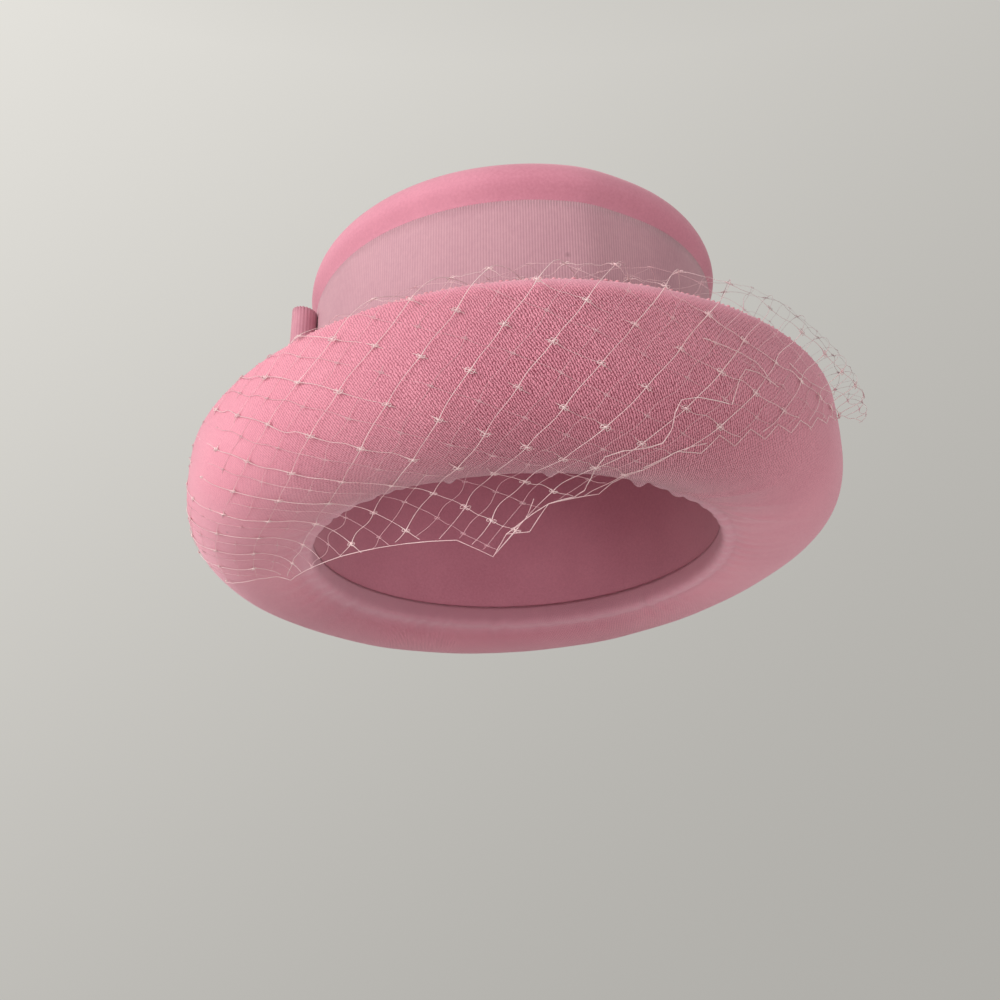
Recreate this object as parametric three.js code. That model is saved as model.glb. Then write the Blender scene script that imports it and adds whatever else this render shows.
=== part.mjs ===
// A dress hat: a round felt crown with a flat top, a wide ribbon band with a side bow,
// a broad rolled brim covered in knitted cloth, and a short net veil over the front of the brim.
// Millimetres, +Z up. The origin is the middle of the head opening, the front is -Y,
// and the wearer's right side, where the bow sits, is -X.
// Offsets are measured straight out from the head oval, heights from the plane of the opening.

import * as THREE from "three";

// Head oval: the outside of the crown at the head opening.
const HALF_WIDTH = 85;
const HALF_LENGTH = 98;

// Crown: felt wall, drawn in a little under the ribbon and swelling above it.
const FELT = 2.5;
const CROWN_HEIGHT = 126;
const CROWN_DOME = 4;
const SHOULDER_RADIUS = 11.5;
const CROWN_SIDE = [
  { height: 0, offset: -0.4 },
  { height: 48, offset: -1.6 },
  { height: 106.5, offset: -2.4 },
  { height: 109, offset: -0.8 },
  { height: 112, offset: 0.9 },
];

// Ribbon band round the crown.
const CLEARANCE = 0.3;
const RIBBON = 1;
const RIBBON_WIDTH = 57;
const BAND_TOP = 106;
const BAND_FOOT = BAND_TOP - RIBBON_WIDTH;

// Brim: a padded wall that dips under the opening, rolls out and turns up all round,
// a little lower on the wearer's right.
const BRIM_WALL = 3;
const BRIM_COLLAR = 9;
const BRIM_CURL = 1;
const BRIM_SIDE_SHARE = 0.58;
const BRIM_UNDER_SHARE = 0.15;
const BRIM_UPRIGHT_SHARE = 0.6;
const BRIM_FRONT = { reach: 47.2, rise: 43.8, dip: -10.3 };
const BRIM_LEFT = { reach: 43.3, rise: 42.3, dip: -4 };
const BRIM_RIGHT = { reach: 46.2, rise: 32.8, dip: -9.5 };
const BRIM_BACK = { reach: 50, rise: 44.6, dip: -11.2 };

// Veil: the outer form of a stiff net, sewn to the crown inside the brim,
// carried over the brim's edge and down its outside, and hanging at the front.
const VEIL_WALL = 1.5;
const VEIL_STAND_OFF = 1.9;
const VEIL_SEAM_HEIGHT = 40;
const VEIL_CREST = 8;
const VEIL_OVER = [
  { reachShare: 0.3, climb: 0.55 },
  { reachShare: 0.68, climb: 1 },
  { reachShare: 0.93, climb: 0.93 },
];
const VEIL_HANG = [
  { inward: 7.2, down: 2.5 },
  { inward: 12.8, down: 9 },
  { inward: 16, down: 20 },
  { inward: 16, down: 43 },
];
const VEIL_HEM = [
  { azimuth: 175, below: 50, proud: 2 },
  { azimuth: 187, below: 76, proud: 1.5 },
  { azimuth: 210, below: 83, proud: 1.5 },
  { azimuth: 240, below: 91, proud: 1.5 },
  { azimuth: 249, below: 99, proud: 1.5 },
  { azimuth: 254, below: 91, proud: 1.5 },
  { azimuth: 267, below: 76, proud: 2 },
  { azimuth: 272, below: 56, proud: 2 },
  { azimuth: 292, below: 45, proud: 3.5 },
  { azimuth: 302, below: 32, proud: 4.5 },
  { azimuth: 330, below: 16, proud: 6.5 },
];

// Bow: two ribbon loops lying along the band, bound by a strip over their middle.
const BOW_AZIMUTH = 165;
const BOW_RADIUS = 96;
const LOOP_LENGTH = 31;
const LOOP_END_RADIUS = 4.6;
const LOOP_ROOT = 1;
const LOOP_ROOT_DEPTH = 4.6;
const LOOP_BACK_BULGE = 2;
const LOOP_BOW = 0.2;
const LOOP_FOOT = BAND_FOOT + 2;
const LOOP_HEIGHT = RIBBON_WIDTH - 2.5;
const KNOT_WIDTH = 16;
const KNOT_DEPTH = LOOP_ROOT_DEPTH + 2.2;

// How finely each curve is cut into flat faces.
const RING_SEGMENTS = 54;
const CROWN_POINTS = { outside: { arc: 5, dome: 3 }, inside: { arc: 3, dome: 2 } };
const BRIM_POINTS = { under: 8, rise: 3 };
const VEIL_POINTS = { under: 14, rise: 3 };
const VEIL_SEGMENTS = { around: 34, down: 26 };
const LOOP_POINTS = 7;

const vec = (x, y) => new THREE.Vector2(x, y);
const felt = new THREE.MeshStandardMaterial({ name: "crown_felt", color: 0xe08fa2, roughness: 0.92 });
const ribbon = new THREE.MeshStandardMaterial({ name: "ribbon", color: 0xd6a0ad, roughness: 0.6 });
const knit = new THREE.MeshStandardMaterial({ name: "brim_knit", color: 0xd98496, roughness: 0.95 });
const net = new THREE.MeshStandardMaterial({ name: "veil_net", color: 0xf0d3d2, roughness: 0.5 });

// A point at an azimuth in radians, a distance straight out from the head oval, and a height.
function ovalPoint(azimuth, offset, height) {
  const outward = vec(Math.cos(azimuth) / HALF_WIDTH, Math.sin(azimuth) / HALF_LENGTH).normalize();
  return new THREE.Vector3(
    HALF_WIDTH * Math.cos(azimuth) + offset * outward.x,
    HALF_LENGTH * Math.sin(azimuth) + offset * outward.y,
    height,
  );
}

// The same, but past a given depth the ring shrinks evenly to the middle, for the crown's top.
function crownPoint(azimuth, offset, height) {
  const evenFrom = -(SHOULDER_RADIUS + FELT);
  if (offset >= evenFrom) return ovalPoint(azimuth, offset, height);
  const share = (HALF_WIDTH + offset) / (HALF_WIDTH + evenFrom);
  const ring = ovalPoint(azimuth, evenFrom, height);
  return new THREE.Vector3(ring.x * share, ring.y * share, height);
}

// Revolves a section round the head oval. Each section point is (offset, height).
function revolve(sectionAt, place = ovalPoint) {
  const lathe = new THREE.LatheGeometry(sectionAt(0).map((p) => vec(HALF_WIDTH + p.x, p.y)), RING_SEGMENTS);
  const position = lathe.attributes.position;
  for (let i = 0; i <= RING_SEGMENTS; i += 1) {
    const azimuth = (-2 * Math.PI * (i % RING_SEGMENTS)) / RING_SEGMENTS;
    sectionAt(azimuth).forEach((p, j, section) => {
      const point = place(azimuth, p.x, p.y);
      position.setXYZ(i * section.length + j, point.x, point.y, point.z);
    });
  }
  lathe.computeVertexNormals();
  return lathe;
}

function crownSideOffset(height) {
  const above = Math.max(CROWN_SIDE.findIndex((row) => row.height >= height), 1);
  const [low, high] = [CROWN_SIDE[above - 1], CROWN_SIDE[above]];
  return THREE.MathUtils.mapLinear(height, low.height, high.height, low.offset, high.offset);
}

// Half of the crown's section, from the middle of the top down to the opening.
function crownSurface(inset, { arc, dome }) {
  const widest = CROWN_SIDE.at(-1).offset - inset;
  const radius = SHOULDER_RADIUS - inset;
  const middle = vec(widest - radius, CROWN_HEIGHT - SHOULDER_RADIUS);
  const points = [];
  for (let i = 0; i < dome; i += 1) {
    const share = i / dome;
    const offset = THREE.MathUtils.lerp(-HALF_WIDTH, middle.x, share);
    points.push(vec(offset, CROWN_HEIGHT - inset + CROWN_DOME * (1 - share * share)));
  }
  for (let i = 0; i <= arc; i += 1) {
    const turn = (Math.PI / 2) * (1 - i / arc);
    points.push(vec(middle.x + radius * Math.cos(turn), middle.y + radius * Math.sin(turn)));
  }
  for (const row of [...CROWN_SIDE].reverse()) points.push(vec(row.offset - inset, row.height));
  return points;
}

function crownGeometry() {
  const outside = crownSurface(0, CROWN_POINTS.outside);
  const inside = crownSurface(FELT, CROWN_POINTS.inside);
  const section = [...outside, ...inside.reverse()];
  return revolve(() => section, crownPoint);
}

function bandGeometry() {
  const top = crownSideOffset(BAND_TOP) + CLEARANCE;
  const foot = crownSideOffset(BAND_FOOT) + CLEARANCE;
  const section = [
    vec(top, BAND_TOP),
    vec(top + RIBBON, BAND_TOP),
    vec(foot + RIBBON, BAND_FOOT),
    vec(foot, BAND_FOOT),
    vec(top, BAND_TOP),
  ];
  return revolve(() => section);
}

// The brim's reach, rise and dip at an azimuth, blended between front, sides and back.
function brimSizes(azimuth) {
  const sideShare = Math.cos(azimuth) ** 2;
  const end = Math.sin(azimuth) < 0 ? BRIM_FRONT : BRIM_BACK;
  const side = Math.cos(azimuth) < 0 ? BRIM_RIGHT : BRIM_LEFT;
  const blend = (key) => THREE.MathUtils.lerp(end[key], side[key], sideShare);
  return { reach: blend("reach"), rise: blend("rise"), dip: blend("dip") };
}

// The brim's outside from the opening, under and round to the upper edge.
function brimOutside(azimuth, points) {
  const { reach, rise, dip } = brimSizes(azimuth);
  const shoulder = rise * BRIM_SIDE_SHARE;
  const upright = THREE.MathUtils.lerp(shoulder, rise, BRIM_UPRIGHT_SHARE);
  const pull = (4 / 3) * dip;
  const start = crownSideOffset(0) + CLEARANCE;
  const under = new THREE.CubicBezierCurve(
    vec(start, 0), vec(BRIM_UNDER_SHARE * reach, pull), vec(reach, pull), vec(reach, shoulder));
  const up = new THREE.QuadraticBezierCurve(
    vec(reach, shoulder), vec(reach, upright), vec(reach - BRIM_CURL, rise));
  return [...under.getPoints(points.under), ...up.getPoints(points.rise).slice(1)];
}

// Moves an open outline sideways: a positive distance is to the left of its direction.
function shifted(points, distance) {
  return points.map((point, i) => {
    const along = points[Math.min(i + 1, points.length - 1)].clone().sub(points[Math.max(i - 1, 0)]);
    along.normalize();
    return vec(point.x - along.y * distance, point.y + along.x * distance);
  });
}

function brimGeometry() {
  const sectionAt = (azimuth) => {
    const curve = brimOutside(azimuth, BRIM_POINTS);
    const outside = [vec(curve[0].x, BRIM_COLLAR), ...curve];
    const inside = shifted(outside, BRIM_WALL);
    inside[0] = vec(outside[0].x + BRIM_WALL, BRIM_COLLAR);
    const edge = outside.at(-1).clone().lerp(inside.at(-1), 0.5);
    edge.y += BRIM_WALL / 2;
    return [outside[0], ...inside, edge, ...outside.slice(1).reverse(), outside[0]];
  };
  return revolve(sectionAt);
}

// One column of the veil's table at an azimuth in radians.
function veilRow(azimuth, column) {
  const turn = THREE.MathUtils.euclideanModulo(THREE.MathUtils.radToDeg(azimuth), 360);
  const above = VEIL_HEM.findIndex((row) => row.azimuth >= turn);
  const next = Math.max(above < 0 ? VEIL_HEM.length - 1 : above, 1);
  const [low, high] = [VEIL_HEM[next - 1], VEIL_HEM[next]];
  const share = THREE.MathUtils.clamp((turn - low.azimuth) / (high.azimuth - low.azimuth), 0, 1);
  return THREE.MathUtils.lerp(low[column], high[column], share);
}

// The net's path at an azimuth: crown seam, over the brim's edge, down its outside, and hanging.
function veilPath(azimuth) {
  const { reach, rise } = brimSizes(azimuth);
  const climbed = (share) => THREE.MathUtils.lerp(VEIL_SEAM_HEIGHT, rise + VEIL_CREST, share);
  const along = shifted(brimOutside(azimuth, VEIL_POINTS), -VEIL_STAND_OFF).reverse();
  const lowest = along.reduce((best, p, i) => (p.y < along[best].y ? i : best), 0);
  const foot = along[lowest];
  const over = [
    vec(crownSideOffset(VEIL_SEAM_HEIGHT) + 2 * CLEARANCE, VEIL_SEAM_HEIGHT),
    ...VEIL_OVER.map(({ reachShare, climb }) => vec(reach * reachShare, climbed(climb))),
  ];
  const edge = vec(reach + VEIL_STAND_OFF + veilRow(azimuth, "proud"), rise - 1);
  const hanging = VEIL_HANG.map(({ inward, down }) => vec(foot.x - inward, foot.y - down));
  const points = [...over, edge, ...along.slice(2, lowest + 1), ...hanging];
  const route = new THREE.SplineCurve(points);
  route.arcLengthDivisions = 400;
  return { route, overEdge: over.length / (points.length - 1) };
}

// A flat block bent into the veil's outer form: x runs round the brim, y down the path, z is its wall.
function veilGeometry() {
  const { around, down } = VEIL_SEGMENTS;
  const block = new THREE.BoxGeometry(1, 1, 1, around, down, 1);
  const position = block.attributes.position;
  const first = THREE.MathUtils.degToRad(VEIL_HEM[0].azimuth);
  const last = THREE.MathUtils.degToRad(VEIL_HEM.at(-1).azimuth);
  const columns = new Map();
  const columnAt = (share) => {
    const key = Math.round(share * around);
    if (!columns.has(key)) {
      const azimuth = THREE.MathUtils.lerp(first, last, key / around);
      const { route, overEdge } = veilPath(azimuth);
      const whole = route.getLength();
      const toEdge = route.getLengths()[Math.round(overEdge * route.arcLengthDivisions)];
      const end = Math.min(1, (toEdge + veilRow(azimuth, "below")) / whole);
      columns.set(key, { azimuth, route, end });
    }
    return columns.get(key);
  };
  for (let i = 0; i < position.count; i += 1) {
    const column = columnAt(position.getX(i) + 0.5);
    const share = (0.5 - position.getY(i)) * column.end;
    const centre = column.route.getPointAt(share);
    const along = column.route.getTangentAt(share);
    const depth = position.getZ(i) * VEIL_WALL;
    const point = ovalPoint(column.azimuth, centre.x - along.y * depth, centre.y + along.x * depth);
    position.setXYZ(i, point.x, point.y, point.z);
  }
  block.computeVertexNormals();
  return block;
}

// Bends a piece drawn flat as (back along the band, out from it, height) round the crown at the bow.
function wrapOnBand(geometry) {
  const position = geometry.attributes.position;
  for (let i = 0; i < position.count; i += 1) {
    const azimuth = THREE.MathUtils.degToRad(BOW_AZIMUTH) - position.getX(i) / BOW_RADIUS;
    const onBand = THREE.MathUtils.clamp(position.getZ(i), BAND_FOOT, BAND_TOP);
    const face = crownSideOffset(onBand) + RIBBON + 2 * CLEARANCE;
    const point = ovalPoint(azimuth, face + position.getY(i), position.getZ(i));
    position.setXYZ(i, point.x, point.y, point.z);
  }
  geometry.computeVertexNormals();
  return geometry;
}

// How far the band curves away from a straight line, at a distance along it from the bow's middle.
const sagAt = (along) => (along * along) / (2 * BOW_RADIUS);

// The outline of a ribbon loop seen from above, inset to give its inner face. It is drawn with the
// band's curve, because the end faces are cut into triangles before the loop is bent.
function loopOutline(side, inset) {
  const root = LOOP_ROOT + inset;
  const end = LOOP_LENGTH - LOOP_END_RADIUS;
  const path = new THREE.Path();
  path.moveTo(root, inset);
  path.quadraticCurveTo(end / 2, inset + LOOP_BOW, end, inset);
  path.absarc(end, LOOP_END_RADIUS, LOOP_END_RADIUS - inset, -Math.PI / 2, Math.PI / 2);
  path.bezierCurveTo(
    (2 / 3) * end, 2 * LOOP_END_RADIUS - inset,
    (1 / 3) * end, LOOP_ROOT_DEPTH + LOOP_BACK_BULGE - inset,
    root, LOOP_ROOT_DEPTH - inset);
  return path.getPoints(LOOP_POINTS).map((p) => vec(side * p.x, p.y - sagAt(p.x)));
}

function bowLoopGeometry(side) {
  const shape = new THREE.Shape(loopOutline(side, 0));
  shape.holes.push(new THREE.Path(loopOutline(side, RIBBON).reverse()));
  const loop = new THREE.ExtrudeGeometry(shape, { depth: LOOP_HEIGHT, bevelEnabled: false });
  loop.translate(0, 0, LOOP_FOOT);
  const position = loop.attributes.position;
  for (let i = 0; i < position.count; i += 1) {
    position.setY(i, position.getY(i) + sagAt(position.getX(i)));
  }
  return wrapOnBand(loop);
}

// A strip over both loop roots, its ends turned back to the band above and below them.
function bowKnotGeometry() {
  const front = KNOT_DEPTH;
  const foot = LOOP_FOOT - CLEARANCE;
  const top = LOOP_FOOT + LOOP_HEIGHT + CLEARANCE;
  const strip = new THREE.Shape([
    vec(0, foot), vec(0, foot - RIBBON), vec(front, foot - RIBBON), vec(front + RIBBON, foot),
    vec(front + RIBBON, top), vec(front, top + RIBBON), vec(0, top + RIBBON), vec(0, top),
    vec(front, top), vec(front, foot),
  ]);
  const knot = new THREE.ExtrudeGeometry(strip, { depth: KNOT_WIDTH, steps: 2, bevelEnabled: false });
  knot.translate(0, 0, -KNOT_WIDTH / 2);
  knot.applyMatrix4(new THREE.Matrix4().set(0, 0, 1, 0, 1, 0, 0, 0, 0, 1, 0, 0, 0, 0, 0, 1));
  return wrapOnBand(knot);
}

function piece(name, geometry, material) {
  const mesh = new THREE.Mesh(geometry, material);
  mesh.name = name;
  return mesh;
}

const hat = new THREE.Group();
hat.add(
  piece("crown", crownGeometry(), felt),
  piece("band", bandGeometry(), ribbon),
  piece("brim", brimGeometry(), knit),
  piece("veil", veilGeometry(), net),
  piece("bow_loop_front", bowLoopGeometry(-1), ribbon),
  piece("bow_loop_back", bowLoopGeometry(1), ribbon),
  piece("bow_knot", bowKnotGeometry(), ribbon),
);

export default hat;
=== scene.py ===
# %% [markdown]
# # A brimmed dress hat with a ribbon band, a side bow and a net veil
# The hat is six made things: a felt crown, a ribbed ribbon band, a broad rolled brim covered in
# knitted cloth, a flat ribbon bow, an overcast edge, and a stiff net veil folded double.
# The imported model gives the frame. The foot and top of its pieces are read from it, its driving
# sizes are repeated here, and every new mesh is made in the same metres, so nothing is fitted
# afterwards.

# %% The frame
import math
import random

import bmesh
import bpy
import numpy as np
from mathutils import Matrix, Vector


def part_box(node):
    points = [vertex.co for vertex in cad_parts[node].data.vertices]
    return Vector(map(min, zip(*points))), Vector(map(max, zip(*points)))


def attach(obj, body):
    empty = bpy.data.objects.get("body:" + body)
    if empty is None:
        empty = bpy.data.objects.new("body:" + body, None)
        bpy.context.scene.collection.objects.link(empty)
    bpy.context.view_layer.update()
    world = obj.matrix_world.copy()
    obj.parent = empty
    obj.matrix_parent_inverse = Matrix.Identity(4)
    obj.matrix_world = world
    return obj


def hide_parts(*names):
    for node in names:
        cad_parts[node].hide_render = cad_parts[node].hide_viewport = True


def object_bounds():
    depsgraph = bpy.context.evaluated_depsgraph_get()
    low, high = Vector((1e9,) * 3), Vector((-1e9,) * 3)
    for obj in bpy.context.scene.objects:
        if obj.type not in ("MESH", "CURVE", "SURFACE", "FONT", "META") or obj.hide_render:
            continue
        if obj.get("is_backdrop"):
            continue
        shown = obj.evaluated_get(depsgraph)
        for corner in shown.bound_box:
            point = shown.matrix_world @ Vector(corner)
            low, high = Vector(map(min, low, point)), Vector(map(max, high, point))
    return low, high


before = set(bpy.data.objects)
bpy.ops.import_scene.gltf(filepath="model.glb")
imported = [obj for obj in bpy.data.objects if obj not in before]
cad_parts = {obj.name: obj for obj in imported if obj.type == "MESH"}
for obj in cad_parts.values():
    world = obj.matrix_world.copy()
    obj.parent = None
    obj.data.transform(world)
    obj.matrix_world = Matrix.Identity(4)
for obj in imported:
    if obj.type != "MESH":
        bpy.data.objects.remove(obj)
cad_low, cad_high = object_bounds()
MM = 0.001
print("nodes", sorted(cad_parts))
print("hat box in mm", [round(s / MM) for s in cad_high - cad_low])

# %% [markdown]
# ## The camera
# The hat is seen as it is worn, from in front and below, a little from the wearer's right. The
# camera is made first so that each piece can be judged in its view. It looks up at the brim, and
# the small roll is the tilt of a camera held in the hand.

# %% Camera
CAMERA_PLACE = Vector((-0.1244, -0.4853, -0.1697))
CAMERA_TURN = math.radians(13.75)
CAMERA_TILT = math.radians(21.25)
CAMERA_ROLL = math.radians(-0.77)
CAMERA_LENS = 46.8

camera_data = bpy.data.cameras.new("camera")
camera_data.lens = CAMERA_LENS
camera_data.sensor_width = 36
camera_data.clip_start = 0.01
camera = bpy.data.objects.new("camera", camera_data)
camera.matrix_world = (
    Matrix.Translation(CAMERA_PLACE)
    @ Matrix.Rotation(-CAMERA_TURN, 4, "Z")
    @ Matrix.Rotation(math.pi / 2 + CAMERA_TILT, 4, "X")
    @ Matrix.Rotation(CAMERA_ROLL, 4, "Z")
)
bpy.context.scene.collection.objects.link(camera)
bpy.context.scene.camera = camera
print("camera to the opening's middle, in m", round(CAMERA_PLACE.length, 3))

# %% [markdown]
# ## The head oval
# A hat is worked over an oval block, so every course of it is that oval let out or taken in. A
# point is then three numbers: how far round, how far out from the oval, and how high. One
# function turns them into a place, and the crown, band, brim, veil and bow all use it.

# %% Head oval
HALF_WIDTH = 85 * MM
HALF_LENGTH = 98 * MM


def oval(azimuth, offset):
    """x and y of points at an azimuth in radians and a distance straight out from the oval."""
    out_x = np.cos(azimuth) / HALF_WIDTH
    out_y = np.sin(azimuth) / HALF_LENGTH
    size = np.hypot(out_x, out_y)
    x = HALF_WIDTH * np.cos(azimuth) + offset * out_x / size
    y = HALF_LENGTH * np.sin(azimuth) + offset * out_y / size
    return x, y


ALL_ROUND = np.linspace(0, 2 * math.pi, 721)


def length_round(offset):
    """The length once round the head, at one offset or at an offset for each step."""
    return float(np.hypot(*np.diff(np.stack(oval(ALL_ROUND, offset)))).sum())


OVAL_LENGTH = length_round(0.0)
print("head oval in mm round", round(OVAL_LENGTH / MM))

# %% [markdown]
# ## Shapes that go round the head
# A lathe turns a section round an axis. Here the section changes as it goes round, so a spin
# would only make a plain tube to be moved afterwards, and a spin of two thousand steps is slow.
# A flat grid does the same faster: its rows are the places along the section and its columns are
# the steps round. Each point is moved to the place that its row and column ask for, and the
# edges that meet, where the grid has been rolled up, are welded.

# %% Roll up a grid
def to_mesh(bm, name):
    """Writes a bmesh out as a new mesh."""
    mesh = bpy.data.meshes.new(name)
    bm.to_mesh(mesh)
    bm.free()
    return mesh


def rolled_skin(count, steps, closed):
    """A grid to be rolled up: its mesh, and each point's step round and number on the section."""
    rows = count if closed else count - 1
    bm = bmesh.new()
    bmesh.ops.create_grid(bm, x_segments=rows, y_segments=steps, size=1)
    mesh = to_mesh(bm, "skin")
    spots = np.empty(len(mesh.vertices) * 3)
    mesh.vertices.foreach_get("co", spots)
    spots = spots.reshape(-1, 3)
    number = np.rint((spots[:, 0] + 1) / 2 * rows).astype(int)
    step = np.rint((spots[:, 1] + 1) / 2 * steps).astype(int)
    return mesh, step, number


def lay_uv(mesh, across, down):
    """A UV map of each point's place round and its distance down."""
    corner = np.empty(len(mesh.loops), int)
    mesh.loops.foreach_get("vertex_index", corner)
    layer = mesh.uv_layers.new(name="UVMap")
    layer.data.foreach_set("uv", np.stack([across[corner], down[corner]], 1).ravel())


WELD = 0.002 * MM


def finish_skin(name, mesh, places, weld=WELD):
    """Moves the grid to its places, welds it, turns its faces out and makes it an object."""
    mesh.vertices.foreach_set("co", np.ascontiguousarray(places, float).ravel())
    bm = bmesh.new()
    bm.from_mesh(mesh)
    bmesh.ops.remove_doubles(bm, verts=bm.verts, dist=weld)
    bmesh.ops.recalc_face_normals(bm, faces=bm.faces)
    for face in bm.faces:
        face.smooth = True
    bm.to_mesh(mesh)
    bm.free()
    return mesh_object(name, mesh)


def mesh_object(name, mesh):
    """Makes a mesh an object of the scene."""
    mesh.name = name
    piece = bpy.data.objects.new(name, mesh)
    bpy.context.scene.collection.objects.link(piece)
    print(name, "has", len(mesh.polygons), "faces")
    return piece


# %% [markdown]
# ## Small irregularities
# Blocked felt and gathered cloth are never true. A slow wave is a sum of a few sines with seeded
# sizes and phases, which closes on itself once round, and a press is a soft round dent where a
# hand or a box has pushed the wall.

# %% Waves and presses
def slow_wave(azimuth, lowest, highest, seed):
    """A wave of about unit size that repeats once round, from a few whole numbers of cycles."""
    draw = random.Random(seed)
    cycles = range(lowest, highest + 1)
    wave = np.zeros_like(azimuth)
    for cycle in cycles:
        wave = wave + draw.uniform(0.5, 1) * np.sin(cycle * azimuth + draw.uniform(0, 2 * math.pi))
    return wave / math.sqrt(len(cycles))


def bump_at(value, middle, width):
    """One at the middle, falling softly to nothing about two widths away."""
    return np.exp(-(((value - middle) / width) ** 2))


def turn_from(azimuth, degrees):
    """The signed angle in degrees from a given azimuth."""
    return (np.degrees(azimuth) - degrees + 180) % 360 - 180


# %% [markdown]
# ## The crown's side
# The felt is drawn in a little under the ribbon and swells above it. Both the crown and the band
# read the same table, so that they stay one above the other. The front right of the block has a
# soft turn in it, which shows as a shadow down the ribbon.

# %% Crown side
CROWN_HEIGHT = 126 * MM
CROWN_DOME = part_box("crown")[1].z - CROWN_HEIGHT
SHOULDER_RADIUS = 11.5 * MM
FELT = 2.5 * MM
SIDE_HEIGHTS = np.array([0, 48, 106.5, 109, 112]) * MM
SIDE_OFFSETS = np.array([-0.4, -1.6, -2.4, -0.8, 0.9]) * MM
CROWN_PRESSES = [
    {"azimuth": 252, "width": 14, "depth": -0.9},
    {"azimuth": 273, "width": 6, "depth": 0.7},
    {"azimuth": 286, "width": 9, "depth": -0.8},
]
CROWN_WAVE = 0.25
PRESS_HEIGHT = 80 * MM
PRESS_REACH = 45 * MM


def crown_side(height):
    """How far the crown's side stands out from the head oval."""
    return np.interp(height, SIDE_HEIGHTS, SIDE_OFFSETS)


def crown_press(azimuth, height):
    """How far the crown and its band are pushed in or out of true."""
    out = CROWN_WAVE * slow_wave(azimuth, 2, 6, 11)
    for press in CROWN_PRESSES:
        away = turn_from(azimuth, press["azimuth"])
        out = out + press["depth"] * bump_at(away, 0, press["width"])
    return out * bump_at(height, PRESS_HEIGHT, PRESS_REACH) * MM


# %% [markdown]
# ## The felt crown
# A blocker steams a felt hood and pulls it over a wooden block, so the crown is one skin with a
# round shoulder and a nearly flat top. It could be a Subdivision cage, but the skin has to meet
# the ribbon at a known height, so a section of the outside and the inside is carried round it.
# The rings of the flat top shrink evenly to the middle, where their points are welded into one.

# %% Crown section
CROWN_STEPS = 256
POLE_WELD = 0.02 * MM
SWELL_FOOT = 105 * MM
SWELL_TOP = 114.5 * MM
EVEN_FROM = -(SHOULDER_RADIUS + FELT)
TOP_RINGS = 13
SHOULDER_RINGS = 13
SWELL_HEIGHTS = np.linspace(114, 104, 11) * MM
STRAIGHT_HEIGHTS = np.linspace(100, 1.5, 17) * MM
DOME_WAVE = 0.35 * MM


def crown_half(inset):
    """Offsets and heights from the middle of the top, over the shoulder and down the side."""
    widest = SIDE_OFFSETS[-1] - inset
    radius = SHOULDER_RADIUS - inset
    share = np.linspace(0, 1, TOP_RINGS + 1)[:-1]
    inner = widest - radius
    top_offset = -HALF_WIDTH + (HALF_WIDTH + inner) * share
    top_height = CROWN_HEIGHT - inset + CROWN_DOME * (1 - share**2)
    turn = np.linspace(math.pi / 2, 0, SHOULDER_RINGS)
    arc_offset = inner + radius * np.cos(turn)
    arc_height = CROWN_HEIGHT - SHOULDER_RADIUS + radius * np.sin(turn)
    side_height = np.concatenate([SWELL_HEIGHTS, STRAIGHT_HEIGHTS])
    swell = np.clip((side_height - SWELL_FOOT) / (SWELL_TOP - SWELL_FOOT), 0, 1)
    swell = swell * swell * (3 - 2 * swell)
    under = crown_side(np.minimum(side_height, SWELL_FOOT))
    side_offset = under + (SIDE_OFFSETS[-1] - under) * swell - inset
    offset = np.concatenate([top_offset, arc_offset, side_offset])
    height = np.concatenate([top_height, arc_height, side_height])
    return offset, height


outer_offset, outer_height = crown_half(0)
inner_offset, inner_height = crown_half(FELT)
section_offset = np.concatenate([outer_offset, inner_offset[::-1]])
section_height = np.concatenate([outer_height, inner_height[::-1]])
mesh, step, number = rolled_skin(len(section_offset), CROWN_STEPS, closed=False)
azimuth = step / CROWN_STEPS * 2 * math.pi
offset = section_offset[number]
height = section_height[number]
ring = np.maximum(offset, EVEN_FROM)
shrink = np.where(offset < EVEN_FROM, (HALF_WIDTH + offset) / (HALF_WIDTH + EVEN_FROM), 1.0)
ring = ring + crown_press(azimuth, height)
x, y = oval(azimuth, ring)
dome_wave = DOME_WAVE * slow_wave(azimuth, 2, 5, 12) * np.sin(math.pi * np.clip(shrink, 0, 1))
dome_wave = np.where(shrink < 1, dome_wave, 0)
crown = finish_skin(
    "crown_felt_shell", mesh, np.stack([x * shrink, y * shrink, height + dome_wave], 1),
    weld=POLE_WELD)

# %% [markdown]
# ## The ribbon band
# The band is grosgrain: a ribbon whose thick cross threads stand up as ribs, close enough that
# its edges end in a row of tiny teeth. The ribs catch the light one by one, so they are real
# shape, four columns of points to a rib, and not a picture of ribs. The band is one closed
# section with many rows on its face and few on its back.

# %% Ribs
RIB_PITCH = 1.15 * MM
RIB_COLUMNS = 4
RIB_HEIGHT = 0.13 * MM
RIB_TOOTH = 0.35 * MM
RIBBON_WALL = 0.7 * MM


def rib(column):
    """The height of a rib, from 0 in the groove to 1 on the ridge, at a column number."""
    return 0.5 - 0.5 * np.cos(2 * math.pi * column / RIB_COLUMNS)


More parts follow.
